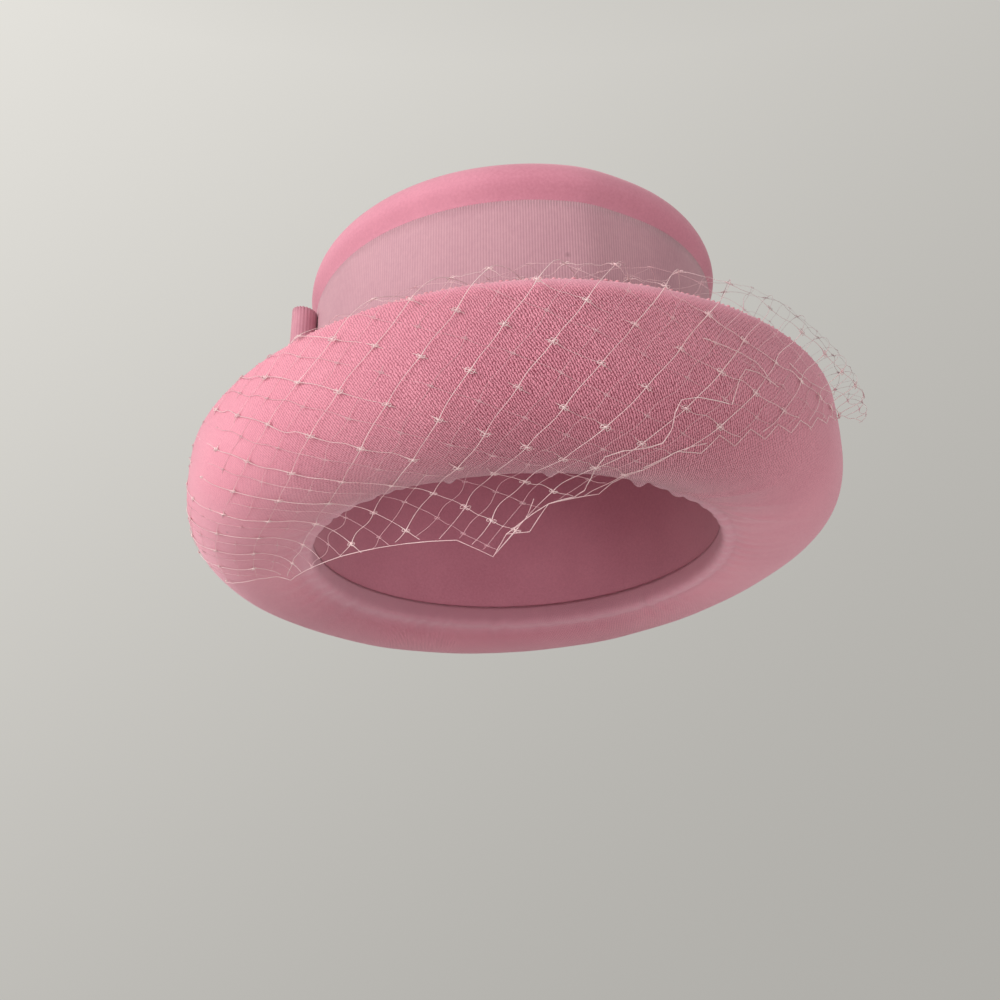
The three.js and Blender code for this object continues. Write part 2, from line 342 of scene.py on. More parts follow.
# %% Band
BAND_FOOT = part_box("band")[0].z
BAND_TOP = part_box("band")[1].z
BAND_ROWS = 12
BAND_BACK_ROWS = 3
BAND_SAG = 0.35 * MM
SEAM_GAP = 0.3 * MM
band_ribs = round(OVAL_LENGTH / RIB_PITCH)
face_height = np.linspace(BAND_FOOT, BAND_TOP, BAND_ROWS)
back_height = np.linspace(BAND_TOP, BAND_FOOT, BAND_BACK_ROWS)
section_height = np.concatenate([face_height, back_height])
on_face = np.concatenate([np.ones(BAND_ROWS), np.zeros(BAND_BACK_ROWS)])
section_foot = crown_side(BAND_FOOT) + SEAM_GAP
section_rise = crown_side(BAND_TOP) - crown_side(BAND_FOOT)
climb = (section_height - BAND_FOOT) / (BAND_TOP - BAND_FOOT)
section_offset = section_foot + section_rise * climb + on_face * RIBBON_WALL

band_steps = band_ribs * RIB_COLUMNS
mesh, column, number = rolled_skin(len(section_height), band_steps, closed=True)
azimuth = column / band_steps * 2 * math.pi
number = number % len(section_height)
offset = section_offset[number] + on_face[number] * RIB_HEIGHT * rib(column)
height = section_height[number]
tooth = np.where(height > (BAND_FOOT + BAND_TOP) / 2, 1, -1) * RIB_TOOTH * rib(column)
at_edge = (climb[number] < 0.01) | (climb[number] > 0.99)
top_sag = BAND_SAG * slow_wave(azimuth, 3, 9, 21)
places_height = height + np.where(at_edge, tooth, 0) + top_sag * climb[number]
offset = offset + crown_press(azimuth, height)
x, y = oval(azimuth, offset)
lay_uv(mesh, column / band_steps, height)
band = finish_skin("ribbon_band", mesh, np.stack([x, y, places_height], 1))
print("ribs round the band", band_ribs)

# %% [markdown]
# ## The brim
# The brim is a broad padded roll: it leaves the opening, dips under, swings out and turns up all
# round, lower on the wearer's right. Its reach, rise and dip are named at the front, both sides
# and the back, and blended between them. The skin is fine enough to carry the folds of the cloth
# where it is gathered into the opening.

# %% Brim sizes
BRIM_WALL = 3 * MM
BRIM_COLLAR = 9 * MM
BRIM_CURL = 1 * MM
BRIM_SIDE_SHARE = 0.58
BRIM_UNDER_SHARE = 0.15
BRIM_UPRIGHT_SHARE = 0.6
BRIM_FRONT = {"reach": 47.2, "rise": 43.8, "dip": -10.3}
BRIM_LEFT = {"reach": 43.3, "rise": 42.3, "dip": -4}
BRIM_RIGHT = {"reach": 46.2, "rise": 32.8, "dip": -9.5}
BRIM_BACK = {"reach": 50, "rise": 44.6, "dip": -11.2}


def brim_size(azimuth, key):
    """One of the brim's sizes at an azimuth, in metres."""
    side_share = np.cos(azimuth) ** 2
    end = np.where(np.sin(azimuth) < 0, BRIM_FRONT[key], BRIM_BACK[key])
    side = np.where(np.cos(azimuth) < 0, BRIM_RIGHT[key], BRIM_LEFT[key])
    return (end + (side - end) * side_share) * MM


def brim_outside(azimuth, under_steps, rise_steps):
    """Offsets and heights of the brim's outside for each azimuth, from the opening upwards."""
    reach, rise, dip = (brim_size(azimuth, key)[:, None] for key in ("reach", "rise", "dip"))
    shoulder = rise * BRIM_SIDE_SHARE
    upright = shoulder + (rise - shoulder) * BRIM_UPRIGHT_SHARE
    pull = 4 / 3 * dip
    start = crown_side(0) + SEAM_GAP
    t = np.linspace(0, 1, under_steps + 1)[None]
    under_x = 3 * (1 - t) ** 2 * t * BRIM_UNDER_SHARE * reach + (3 * (1 - t) * t**2 + t**3) * reach
    under_x = under_x + (1 - t) ** 3 * start
    under_y = (3 * (1 - t) ** 2 * t + 3 * (1 - t) * t**2) * pull + t**3 * shoulder
    u = np.linspace(0, 1, rise_steps + 1)[None, 1:]
    up_x = reach - u**2 * BRIM_CURL
    up_y = (1 - u) ** 2 * shoulder + 2 * (1 - u) * u * upright + u**2 * rise
    return np.concatenate([under_x, up_x], 1), np.concatenate([under_y, up_y], 1)


def shifted(curve_x, curve_y, distance):
    """Each curve moved sideways: a positive distance is to the left of its direction."""
    along_x = np.gradient(curve_x, axis=1)
    along_y = np.gradient(curve_y, axis=1)
    size = np.hypot(along_x, along_y)
    return curve_x - along_y / size * distance, curve_y + along_x / size * distance


# %% [markdown]
# ## Folds in the brim's cloth
# The knitted cloth is stretched over the brim and drawn into the opening, where the spare width
# shows as short soft gathers, a few deeper tucks at the front, and two or three long drags on
# the wearer's left. They are worked out as a small push outwards at each point of the skin.

# %% Brim folds
TUCKS = [
    {"azimuth": 238.5, "width": 1.5, "depth": 1.7, "lip": 2.2},
    {"azimuth": 262.0, "width": 1.6, "depth": 2.6, "lip": 2.4},
    {"azimuth": 265.8, "width": 0.8, "depth": -1.4, "lip": 3.0},
    {"azimuth": 284.5, "width": 1.3, "depth": 2.4, "lip": 3.0},
    {"azimuth": 287.6, "width": 0.8, "depth": -1.5, "lip": 3.5},
    {"azimuth": 296.5, "width": 2.6, "depth": 1.4, "lip": 3.0},
    {"azimuth": 303.0, "width": 2.2, "depth": 0.8, "lip": 4.0},
]
DRAGS = [
    {"azimuth": 292, "slant": 0.42, "width": 1.7, "depth": 1.1, "length": 26},
    {"azimuth": 300, "slant": 0.5, "width": 1.5, "depth": 0.9, "length": 22},
    {"azimuth": 309, "slant": 0.55, "width": 1.8, "depth": 0.7, "length": 24},
]
DRAG_MIDDLE = 0.35
DRAG_REACH = 0.6
GATHER_DEPTH = 0.4 * MM
GATHER_REACH = 8 * MM
BROAD_SLACK = 0.35 * MM
FINE_SLACK = 0.12 * MM


def brim_fold(azimuth, down):
    """How far the cloth stands off its base, at a distance in metres from the opening's edge."""
    near = np.exp(-down / GATHER_REACH)
    fold = GATHER_DEPTH * slow_wave(azimuth, 30, 90, 31) * near
    for tuck in TUCKS:
        away = turn_from(azimuth, tuck["azimuth"])
        near_lip = bump_at(down, 0, tuck["lip"] * MM)
        fold = fold + tuck["depth"] * MM * bump_at(away, 0, tuck["width"]) * near_lip
    for drag in DRAGS:
        turn = drag["azimuth"] + drag["slant"] * down / MM
        away = turn_from(azimuth, turn)
        along = bump_at(down, DRAG_MIDDLE * drag["length"] * MM, DRAG_REACH * drag["length"] * MM)
        fold = fold + drag["depth"] * MM * bump_at(away, 0, drag["width"]) * along
    slack = BROAD_SLACK * slow_wave(azimuth, 3, 8, 32) + FINE_SLACK * slow_wave(azimuth, 12, 20, 33)
    return fold + slack * (1 - near)


# %% [markdown]
# ## The brim's cover
# The cover is one closed skin. Its section starts inside the opening, where the knit is turned in
# over the raw edge of the crown, comes round the bottom of that edge in a soft lip, follows the
# outside to the top, turns over and comes back down the inside to a collar on the crown. The
# inside carries no folds, so it keeps only every third row of points.

# %% Brim
BRIM_STEPS = 768
UNDER_STEPS = 56
RISE_STEPS = 16
INSIDE_STRIDE = 3
LIP = np.array([
    (-3.6, 7.0), (-3.8, 5.4), (-3.85, 3.6), (-3.85, 2.0), (-3.8, 0.9), (-3.6, 0.0),
    (-3.2, -0.8), (-2.6, -1.35), (-1.9, -1.7), (-1.1, -1.85), (-0.3, -1.95)]) * MM
LIP_BACK = np.array([
    (-0.1, 1.0), (-0.1, 0.1), (-0.6, -0.3), (-2.4, -0.3), (-3.0, 0.2), (-3.1, 2.0),
    (-3.1, 6.8)]) * MM
LIP_TO_BRIM = 1.9 * MM
EDGE_POINTS = 7
COLLAR_FOOT = 5 * MM

column_azimuth = np.arange(BRIM_STEPS) * 2 * math.pi / BRIM_STEPS
out_x, out_y = brim_outside(column_azimuth, UNDER_STEPS, RISE_STEPS)
in_x, in_y = shifted(out_x, out_y, BRIM_WALL)
step_x = np.diff(out_x, axis=1, prepend=out_x[:, :1])
step_y = np.diff(out_y, axis=1, prepend=out_y[:, :1])
out_down = np.cumsum(np.hypot(step_x, step_y), axis=1)
first_out = int(np.argmax((out_down > LIP_TO_BRIM).all(axis=0)))
collar_in_x = out_x[:, :1] + BRIM_WALL
first_in = int(np.argmax((in_x > collar_in_x).all(axis=0)))


def same_all_round(points):
    """Section points that don't change round the brim, as a block of x and a block of y."""
    block = np.repeat(points[None], BRIM_STEPS, axis=0)
    return block[:, :, 0], block[:, :, 1]


edge_turn = np.linspace(0, math.pi, EDGE_POINTS + 2)[1:-1]
edge_x = (out_x[:, -1:] + in_x[:, -1:]) / 2 + BRIM_WALL / 2 * np.cos(edge_turn)[None]
edge_y = (out_y[:, -1:] + in_y[:, -1:]) / 2 + BRIM_WALL / 2 * np.sin(edge_turn)[None]
collar = np.array([
    (BRIM_WALL, COLLAR_FOOT), (BRIM_WALL, BRIM_COLLAR), (0, BRIM_COLLAR), (0, COLLAR_FOOT)])
collar[:, 0] += out_x[0, 0]
parts = [
    same_all_round(LIP), (out_x[:, first_out:], out_y[:, first_out:]), (edge_x, edge_y),
    (in_x[:, :first_in:-INSIDE_STRIDE], in_y[:, :first_in:-INSIDE_STRIDE]), same_all_round(collar),
    same_all_round(LIP_BACK)]
ring_x = np.concatenate([part[0] for part in parts], 1)
ring_y = np.concatenate([part[1] for part in parts], 1)
outside_count = len(LIP) + out_x.shape[1] - first_out
steps_along = np.hypot(np.diff(ring_x, axis=1), np.diff(ring_y, axis=1))
ring_down = np.concatenate([np.zeros((BRIM_STEPS, 1)), np.cumsum(steps_along, axis=1)], 1)
ring_down = ring_down - ring_down[:, len(LIP) - 1:len(LIP)]

# %% Push the folds into the brim's outside
FOLD_START = -7 * MM
FOLD_FADE = 6 * MM
face_x, face_y = ring_x[:, :outside_count], ring_y[:, :outside_count]
off_x, off_y = shifted(face_x, face_y, -1.0)
fold = brim_fold(column_azimuth[:, None], np.maximum(ring_down[:, :outside_count], 0))
hold = np.clip((ring_down[:, :outside_count] - FOLD_START) / FOLD_FADE, 0, 1)
top_left = ring_down[:, outside_count - 1:outside_count] - ring_down[:, :outside_count]
hold = hold * np.clip(top_left / FOLD_FADE, 0, 1)
ring_x[:, :outside_count] = face_x + (off_x - face_x) * fold * hold
ring_y[:, :outside_count] = face_y + (off_y - face_y) * fold * hold

cover_length = float(ring_down[np.argmin(np.abs(column_azimuth - 1.5 * math.pi)), outside_count - 1])
print("cover from opening to edge at the front, in mm", round(cover_length / MM))
mesh, step, number = rolled_skin(ring_x.shape[1], BRIM_STEPS, closed=True)
column = step % BRIM_STEPS
spot = number % ring_x.shape[1]
x, y = oval(column_azimuth[column], ring_x[column, spot])
down = np.where(number == ring_x.shape[1], ring_down[0, -1] + 1 * MM, ring_down[column, spot])
lay_uv(mesh, step / BRIM_STEPS, down)
brim = finish_skin("brim_knit_cover", mesh, np.stack([x, y, ring_y[column, spot]], 1))
brim_edge_length = length_round(brim_size(ALL_ROUND, "reach"))
print("brim edge in mm round", round(brim_edge_length / MM))

# %% [markdown]
# ## The overcast edge
# The cover is closed along the top of the brim by a row of small stitches, which stand up as a
# fine string of beads against what is behind. Each one is a flattened low-poly ball that leans
# across the edge, copied round by a loop into one mesh.

# %% Copies of a small lump
def lump_mesh(places, sizes, along, seed, roughness):
    """One mesh of many small balls, each stretched along its own direction and made uneven."""
    draw = random.Random(seed)
    bm = bmesh.new()
    for place, size, direction in zip(places, sizes, along):
        turn = Vector(direction).to_track_quat("X", "Z").to_matrix().to_4x4()
        scale = Matrix.Diagonal((*size, 1))
        made = bmesh.ops.create_icosphere(bm, subdivisions=1, radius=1)
        for vert in made["verts"]:
            vert.co *= 1 + draw.uniform(-roughness, roughness)
        bmesh.ops.transform(
            bm, matrix=Matrix.Translation(Vector(place)) @ turn @ scale, verts=made["verts"])
    for face in bm.faces:
        face.smooth = True
    return to_mesh(bm, "lumps")


# %% Edge stitches
STITCH_PITCH = 2.1 * MM
STITCH_SIZE = (0.8 * MM, 0.95 * MM, 0.42 * MM)
STITCH_LEAN = 0.5
STITCH_SINK = 0.2 * MM
DEEP_NAP = {"azimuth": 195, "width": 42, "sink": 0.35}
stitch_count = round(brim_edge_length / STITCH_PITCH)
draw = random.Random(41)
places, sizes, along = [], [], []
for k in range(stitch_count):
    azimuth = np.array([2 * math.pi * (k + draw.uniform(-0.12, 0.12)) / stitch_count])
    edge_out = brim_size(azimuth, "reach") - BRIM_CURL - BRIM_WALL / 2
    rise = brim_size(azimuth, "rise") + BRIM_WALL / 2
    x, y = oval(azimuth, edge_out + draw.uniform(-0.2, 0.5) * MM)
    sunk = DEEP_NAP["sink"] * bump_at(turn_from(azimuth[0], DEEP_NAP["azimuth"]), 0, DEEP_NAP["width"])
    nudge = (draw.uniform(-0.15, 0.2) - sunk) * MM
    places.append((x[0], y[0], rise[0] - STITCH_SINK + nudge))
    sizes.append([s * draw.uniform(0.85, 1.15) for s in STITCH_SIZE])
    lean = azimuth[0] + math.pi / 2 + STITCH_LEAN
    along.append((math.cos(lean), math.sin(lean), 0))
edge_stitches = mesh_object("brim_edge_stitches", lump_mesh(places, sizes, along, 42, 0.08))

# %% [markdown]
# ## The bow
# The bow is the same ribbon: two loops laid along the band on the wearer's right, and a strip
# bound over the middle. A loop is a standing wall of ribbon bent round a drop shape, so
# a grid is rolled round the drop, ribs and all, and Solidify then gives the ribbon its
# thickness.

# %% Ribbon bent round a drop
BOW_AZIMUTH = math.radians(165)
BOW_RADIUS = 96 * MM
LOOP_LENGTH = 31 * MM
LOOP_END_RADIUS = 4.6 * MM
LOOP_ROOT = 1 * MM
LOOP_ROOT_DEPTH = 4.6 * MM
LOOP_BACK_BULGE = 2 * MM
LOOP_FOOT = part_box("bow_loop_front")[0].z
LOOP_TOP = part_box("bow_loop_front")[1].z - 3.2 * MM
LOOP_TOP_TILT = 1.7 * MM
LOOP_LEAN = 1.6 * MM
LOOP_FULLNESS = 1.14
LOOP_SWELL = 0.5 * MM
RIBBON_OUT = RIBBON_WALL + SEAM_GAP
LAID_GAP = 0.15 * MM
BOW_WALL = 0.5 * MM


def on_band(along, out, height):
    """The place of a point given along the band from the bow, out from its face, and up."""
    azimuth = BOW_AZIMUTH - along / BOW_RADIUS
    face = crown_side(np.clip(height, BAND_FOOT, BAND_TOP)) + RIBBON_OUT + LAID_GAP
    face = face + crown_press(azimuth, height)
    x, y = oval(azimuth, face + out)
    return np.stack([x, y, height], -1)


def reached_along(line):
    """The distance along a line to each of its points."""
    return np.concatenate([[0], np.cumsum(np.hypot(*np.diff(line, axis=0).T))])


def even_line(line, steps):
    """The same line with its points at even distances."""
    reached = reached_along(line)
    wanted = np.linspace(0, reached[-1], steps + 1)
    return np.stack([np.interp(wanted, reached, line[:, axis]) for axis in (0, 1)], 1)


def drop_outline(inset):
    """The closed outline of a loop from above, inset to the middle of the ribbon's wall."""
    end = LOOP_LENGTH - LOOP_END_RADIUS
    t = np.linspace(0, 1, 25)
    base = np.stack([LOOP_ROOT + inset + (end - LOOP_ROOT - inset) * t, np.full(25, inset)], 1)
    turn = np.linspace(-math.pi / 2, math.pi / 2, 25)[1:-1]
    radius = LOOP_END_RADIUS - inset
    tip = np.stack([end + radius * np.cos(turn), LOOP_END_RADIUS + radius * np.sin(turn)], 1)
    corners = np.array([
        (end, 2 * LOOP_END_RADIUS - inset),
        (2 / 3 * end, 2 * LOOP_END_RADIUS - inset),
        (1 / 3 * end, LOOP_ROOT_DEPTH + LOOP_BACK_BULGE - inset),
        (LOOP_ROOT + inset, LOOP_ROOT_DEPTH - inset)])
    weights = np.stack([(1 - t) ** 3, 3 * (1 - t) ** 2 * t, 3 * (1 - t) * t**2, t**3], 1)
    return np.concatenate([base, tip, weights @ corners, base[:1]])


def ribbon_solid(piece):
    """Gives a ribbon its thickness on both sides of the modelled wall."""
    solid = piece.modifiers.new("thickness", "SOLIDIFY")
    solid.thickness = BOW_WALL
    solid.offset = 0


# %% Bow loops
LOOP_ROWS = 14


def bow_loop(name, side, seed):
    """One loop of the bow: side is -1 towards the front and 1 towards the back."""
    drop = drop_outline(RIBBON_WALL / 2)
    length = reached_along(drop)[-1]
    count = round(length / RIB_PITCH) * RIB_COLUMNS
    outline = even_line(drop, count)[:-1]
    ahead = np.roll(outline, -1, axis=0) - np.roll(outline, 1, axis=0)
    ahead = ahead / np.hypot(*ahead.T)[:, None]
    outline = outline + np.stack([ahead[:, 1], -ahead[:, 0]], 1) * (
        RIB_HEIGHT * rib(np.arange(count)))[:, None]
    mesh, step, number = rolled_skin(LOOP_ROWS, count, closed=False)
    column = step % count
    share = number / (LOOP_ROWS - 1)
    near_band = 1 - outline[column, 1] / (2 * LOOP_END_RADIUS)
    height = LOOP_FOOT + (LOOP_TOP - LOOP_TOP_TILT * near_band**1.5 - LOOP_FOOT) * share
    at_edge = (number == 0) | (number == LOOP_ROWS - 1)
    height = height + np.where(at_edge, np.sign(share - 0.5) * RIB_TOOTH * rib(column), 0)
    along = outline[column, 0]
    swell = LOOP_SWELL * slow_wave(2 * math.pi * share, 1, 2, seed) * along / LOOP_LENGTH
    lay_uv(mesh, step / count, height)
    lean = LOOP_LEAN / (2 * LOOP_END_RADIUS) * (1 - share) ** 1.5
    out = outline[column, 1] * (LOOP_FULLNESS + lean)
    places = on_band(side * (along + swell), out, height)
    piece = finish_skin(name, mesh, places)
    ribbon_solid(piece)
    return piece, length


loop_front, loop_length = bow_loop("bow_loop_front_ribbon", -1, 51)
loop_back, loop_length = bow_loop("bow_loop_back_ribbon", 1, 52)
print("ribbon in each loop, mm", round(loop_length / MM))

# %% [markdown]
# ## The bow's middle
# The binding strip is the ribbon folded narrow, so it crowns a little across its width. It
# starts behind, wraps over both loops and tucks in again above them. A grid is bent round that
# path, with the ribs now lying across the strip.

# %% Bow knot
KNOT_WIDTH = 16 * MM
KNOT_DEPTH = LOOP_ROOT_DEPTH + 2.2 * MM + RIBBON_WALL
KNOT_CORNER = 2.2 * MM
KNOT_COLUMNS = 12
KNOT_TUCK = 0.4 * MM
KNOT_CROWN = 0.7 * MM
KNOT_PINCH = 0.1


def knot_path():
    """Distance out and height along the middle of the strip, from its foot to its top."""
    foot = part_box("bow_knot")[0].z + RIBBON_WALL / 2
    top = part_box("bow_knot")[1].z - RIBBON_WALL / 2
    turn = np.linspace(0, math.pi / 2, 9)
    inner = KNOT_DEPTH - KNOT_CORNER
    low = np.stack([inner + KNOT_CORNER * np.sin(turn), foot + KNOT_CORNER * (1 - np.cos(turn))], 1)
    high = np.stack([low[::-1, 0], top + foot - low[::-1, 1]], 1)
    return np.concatenate([[(KNOT_TUCK, foot)], low, high, [(KNOT_TUCK, top)]])


knot_length = reached_along(knot_path())[-1]
knot_rows = round(knot_length / RIB_PITCH) * RIB_COLUMNS
path = even_line(knot_path(), knot_rows)
bm = bmesh.new()
bmesh.ops.create_grid(bm, x_segments=KNOT_COLUMNS, y_segments=knot_rows, size=1)
across = np.array([vert.co.x for vert in bm.verts])
row = np.rint(np.array([(vert.co.y + 1) / 2 * knot_rows for vert in bm.verts])).astype(int)
out = path[row, 0] + KNOT_CROWN * (1 - across**2) + RIB_HEIGHT * rib(row)
pinch = 1 - KNOT_PINCH * np.sin(math.pi * row / knot_rows)
places = on_band(across * KNOT_WIDTH / 2 * pinch, out, path[row, 1])
uv_layer = bm.loops.layers.uv.new("UVMap")
for vert, place in zip(bm.verts, places):
    vert.co = place
for face in bm.faces:
    face.smooth = True
    for loop in face.loops:
        loop[uv_layer].uv = (row[loop.vert.index] / knot_rows, across[loop.vert.index] * KNOT_WIDTH / 2)
knot = mesh_object("bow_knot_ribbon", to_mesh(bm, "knot"))
ribbon_solid(knot)

# %% [markdown]
# ## The surface that the veil lies on
# The net is sewn to the crown inside the brim, climbs over the brim's edge, follows its outside
# and hangs free below it. At each azimuth that course is one smooth curve, and a place on the
# net is an azimuth and a distance down from the brim's edge. The course is worked out once on a
# close grid, and every thread reads its place and the way out of the net from there.

# %% Veil course
VEIL_STAND_OFF = 1.9 * MM
VEIL_SEAM_HEIGHT = 40 * MM
VEIL_OVER = [(0.3, 0.55), (0.68, 1.0), (0.93, 0.93)]
VEIL_HANG = [(7.2, 2.5), (12.8, 9), (16, 20), (16, 43)]
VEIL_PROUD = np.array([
    (165, -0.2), (225, 0.2), (249, 0.8), (272, 1.6), (292, 3.5), (302, 5), (315, 7.5), (330, 10)])
VEIL_LIE = np.array([(165, 0.15), (205, 0.25), (240, 0.8), (330, 0.9)])
VEIL_CREST = np.array([
    (165, 0.5), (215, 1.5), (235, 5), (250, 8), (278, 10), (290, 12.5), (300, 13), (306, 9.5),
    (330, 8)])
VEIL_AZIMUTHS = np.arange(160, 346)
VEIL_DOWNS = np.arange(-60, 131) * MM
COURSE_STEPS = 16
COURSE_UNDER = 14
COURSE_RISE = 3


def catmull(points, per_segment):
    """A smooth curve through the points, with a few steps in each gap."""
    padded = np.concatenate([points[:1], points, points[-1:]])
    t = np.linspace(0, 1, per_segment, endpoint=False)[:, None]
    pieces = []
    for k in range(len(points) - 1):
        before, start, end, after = padded[k:k + 4]
        leave, arrive = (end - before) / 2, (after - start) / 2
        cubic = 2 * start - 2 * end + leave + arrive
        square = -3 * start + 3 * end - 2 * leave - arrive
        pieces.append(cubic * t**3 + square * t**2 + leave * t + start)
    return np.concatenate([*pieces, points[-1:]])


def veil_course(degrees):
    """The course at one azimuth as places at each distance down from the brim's edge."""
    azimuth = np.array([math.radians(degrees)])
    reach, rise = brim_size(azimuth, "reach")[0], brim_size(azimuth, "rise")[0]
    side_x, side_y = brim_outside(azimuth, COURSE_UNDER, COURSE_RISE)
    lie, proud, crest = (
        np.interp(degrees, table[:, 0], table[:, 1]) * MM
        for table in (VEIL_LIE, VEIL_PROUD, VEIL_CREST))
    side_x, side_y = shifted(side_x, side_y, -np.linspace(VEIL_STAND_OFF, lie, side_x.shape[1]))
    side = np.stack([side_x[0], side_y[0]], 1)[::-1]
    lowest = int(side[:, 1].argmin())
    foot = side[lowest]
    seam = (float(crown_side(VEIL_SEAM_HEIGHT)) + 2 * SEAM_GAP, VEIL_SEAM_HEIGHT)
    climb = rise + crest - VEIL_SEAM_HEIGHT
    over = [((reach + proud) * out, VEIL_SEAM_HEIGHT + climb * up) for out, up in VEIL_OVER]
    edge = (reach + lie + proud, rise - 1 * MM)
    hanging = [(foot[0] - inward * MM, foot[1] - drop * MM) for inward, drop in VEIL_HANG]
    points = np.array([seam, *over, edge, *side[2:lowest + 1], *hanging])
    line = catmull(points, COURSE_STEPS)
    reached = reached_along(line)
    at_edge = reached[(len(over) + 1) * COURSE_STEPS]
    along = np.clip(VEIL_DOWNS, -at_edge, None) + at_edge
    x, y = oval(azimuth, np.interp(along, reached, line[:, 0]))
    return np.stack([x, y, np.interp(along, reached, line[:, 1])], 1)


course = np.stack([veil_course(degrees) for degrees in VEIL_AZIMUTHS])
round_step, down_step = np.gradient(course, axis=(0, 1))
course_out = np.cross(down_step, round_step)
course_size = np.linalg.norm(course_out, axis=-1, keepdims=True)
course_out = course_out / np.maximum(course_size, 1e-12)
print("veil course grid", course.shape)


def read_grid(grid, degrees, down):
    """The grid's value at an azimuth in degrees and a distance down, between its points."""
    a = np.clip(degrees - VEIL_AZIMUTHS[0], 0, len(VEIL_AZIMUTHS) - 1.001)
    d = np.clip((down - VEIL_DOWNS[0]) / MM, 0, len(VEIL_DOWNS) - 1.001)
    i, j = int(a), int(d)
    p, q = a - i, d - j
    near = grid[i, j] * (1 - q) + grid[i, j + 1] * q
    far = grid[i + 1, j] * (1 - q) + grid[i + 1, j + 1] * q
    return near * (1 - p) + far * p


def on_veil(degrees, down, lift=0.0):
    """A place on the net, lifted off its course by a distance."""
    return read_grid(course, degrees, down) + read_grid(course_out, degrees, down) * lift


# %% [markdown]
# ## Laying the net
# Millinery net is a lattice of diamonds with a knot where threads cross. It is laid here as a
# milliner pins it: one row of knots is set slantwise round the front, and from each of them a
# line of knots is walked up and down the course at a steady step, leaning further over as it
# nears the wearer's right, where the net wraps round the brim.

# %% Lattice of knots
KNOT_STEP = 18 * MM
ROW_START = (254.3, 14.8 * MM)
ROW_STEP = (6.15, 6.9 * MM)
ROW_BEND = 0.72 * MM
LEAN = 38.7
LEAN_PER_MM = 0.12
LEAN_PER_DEGREE = 0.82
LEAN_LEAST, LEAN_MOST = 5, 86
LATTICE_LINES = range(-12, 14)
KNOTS_EACH_WAY = 13


def lean_at(degrees, down):
    """How far the walked lines lean from straight down, in radians."""
    lean = LEAN + LEAN_PER_MM * (down / MM - 30) + LEAN_PER_DEGREE * max(0, 250 - degrees)
    return math.radians(min(max(lean, LEAN_LEAST), LEAN_MOST))


def round_size(degrees, down):
    """How long one degree of azimuth is on the net."""
    ahead = read_grid(course, degrees + 0.5, down)
    behind = read_grid(course, degrees - 0.5, down)
    return max(float(np.linalg.norm(ahead - behind)), 0.5 * MM)


def walk(degrees, down, step):
    """One knot further along a line: a positive step goes down, a negative one up."""
    lean = lean_at(degrees, down)
    middle = degrees - step / 2 * math.sin(lean) / round_size(degrees, down)
    lean = lean_at(middle, down + step / 2 * math.cos(lean))
    return (
        degrees - step * math.sin(lean) / round_size(middle, down),
        down + step * math.cos(lean))


def lay_lattice(shift_round, shift_down):
    """Knots as {(line, knot): (degrees, down)}, the whole lattice shifted by shares of a step."""
    knots = {}
    for line in LATTICE_LINES:
        place = line + shift_round
        bend = ROW_BEND * max(0, place - 2) ** 2
        start = (ROW_START[0] + ROW_STEP[0] * place, ROW_START[1] + ROW_STEP[1] * place - bend)
        if not VEIL_AZIMUTHS[0] < start[0] < VEIL_AZIMUTHS[-1]:
            continue
        start = walk(*start, shift_down * KNOT_STEP) if shift_down else start
        knots[line, 0] = start
        for way in (-1, 1):
            spot = start
            for count in range(1, KNOTS_EACH_WAY + 1):
                spot = walk(*spot, way * KNOT_STEP)
                if not VEIL_AZIMUTHS[0] + 2 < spot[0] < VEIL_AZIMUTHS[-1] - 2:
                    break
                knots[line, way * count] = spot
    return knots


# %% [markdown]
# ## Where the net stops
# The net is folded double at its lower edge, so that edge shows as a brighter line. Its run is a
# short table of turns, from the wearer's right round to the wearer's left. On the left each
# diamond that is caught in the fold makes a tooth with one steep side, so the teeth are worked
# out from a pitch. The spare net is bunched in a few creases above the fold, where several
# threads run together as one thick line, and each is a smooth curve through a few turns.

# %% Lower edge
HEM_TURNS = [
    {"azimuth": 163, "down": 44},
    {"azimuth": 172, "down": 63},
    {"azimuth": 182, "down": 74},
    {"azimuth": 210, "down": 82},
    {"azimuth": 241, "down": 92},
    {"azimuth": 249, "down": 100},
    {"azimuth": 252, "down": 93},
    {"azimuth": 257, "down": 93},
    {"azimuth": 261, "down": 84},
    {"azimuth": 271, "down": 80},
    {"azimuth": 280, "down": 54},
    {"azimuth": 331, "down": 2},
]
TEETH = 9
TEETH_FROM = 284
TOOTH_PITCH = 5
TOOTH_CLIMB = 1.5
TOOTH_DEPTH = 3
SEAM_SPARE = 3 * MM
CREASES = [
    {"radius": 0.17, "turns": [
        (252, 93), (261, 84), (268, 79), (269, 60), (277, 52), (278, 37), (286, 35)]},
    {"radius": 0.13, "turns": [(286, 35), (288, 22), (295, 24)]},
    {"radius": 0.13, "turns": [(281, 15), (290, 18), (293, 24)]},
    {"radius": 0.13, "turns": [(298, 12), (304, 14), (314, 10)]},
    {"radius": 0.13, "turns": [(258, 82), (256, 89), (252, 93)]},
    {"radius": 0.13, "turns": [(284, 49), (280, 54), (276, 64)]},
]


def hem_corners():
    """Corners of the fold as azimuths and distances down: its turns, then its row of teeth."""
    turns = np.array([(turn["azimuth"], turn["down"]) for turn in HEM_TURNS], float)
    corners = [turn for turn in turns if turn[0] < TEETH_FROM]
    for tooth in range(TEETH):
        deep = TEETH_FROM + tooth * TOOTH_PITCH
        depth = TOOTH_DEPTH * (1 - tooth / TEETH)
        for azimuth, away in ((deep, depth), (deep + TOOTH_CLIMB, -depth)):
            corners.append((azimuth, np.interp(azimuth, turns[:, 0], turns[:, 1]) + away))
    return np.array([*corners, turns[-1]])


HEM = hem_corners()


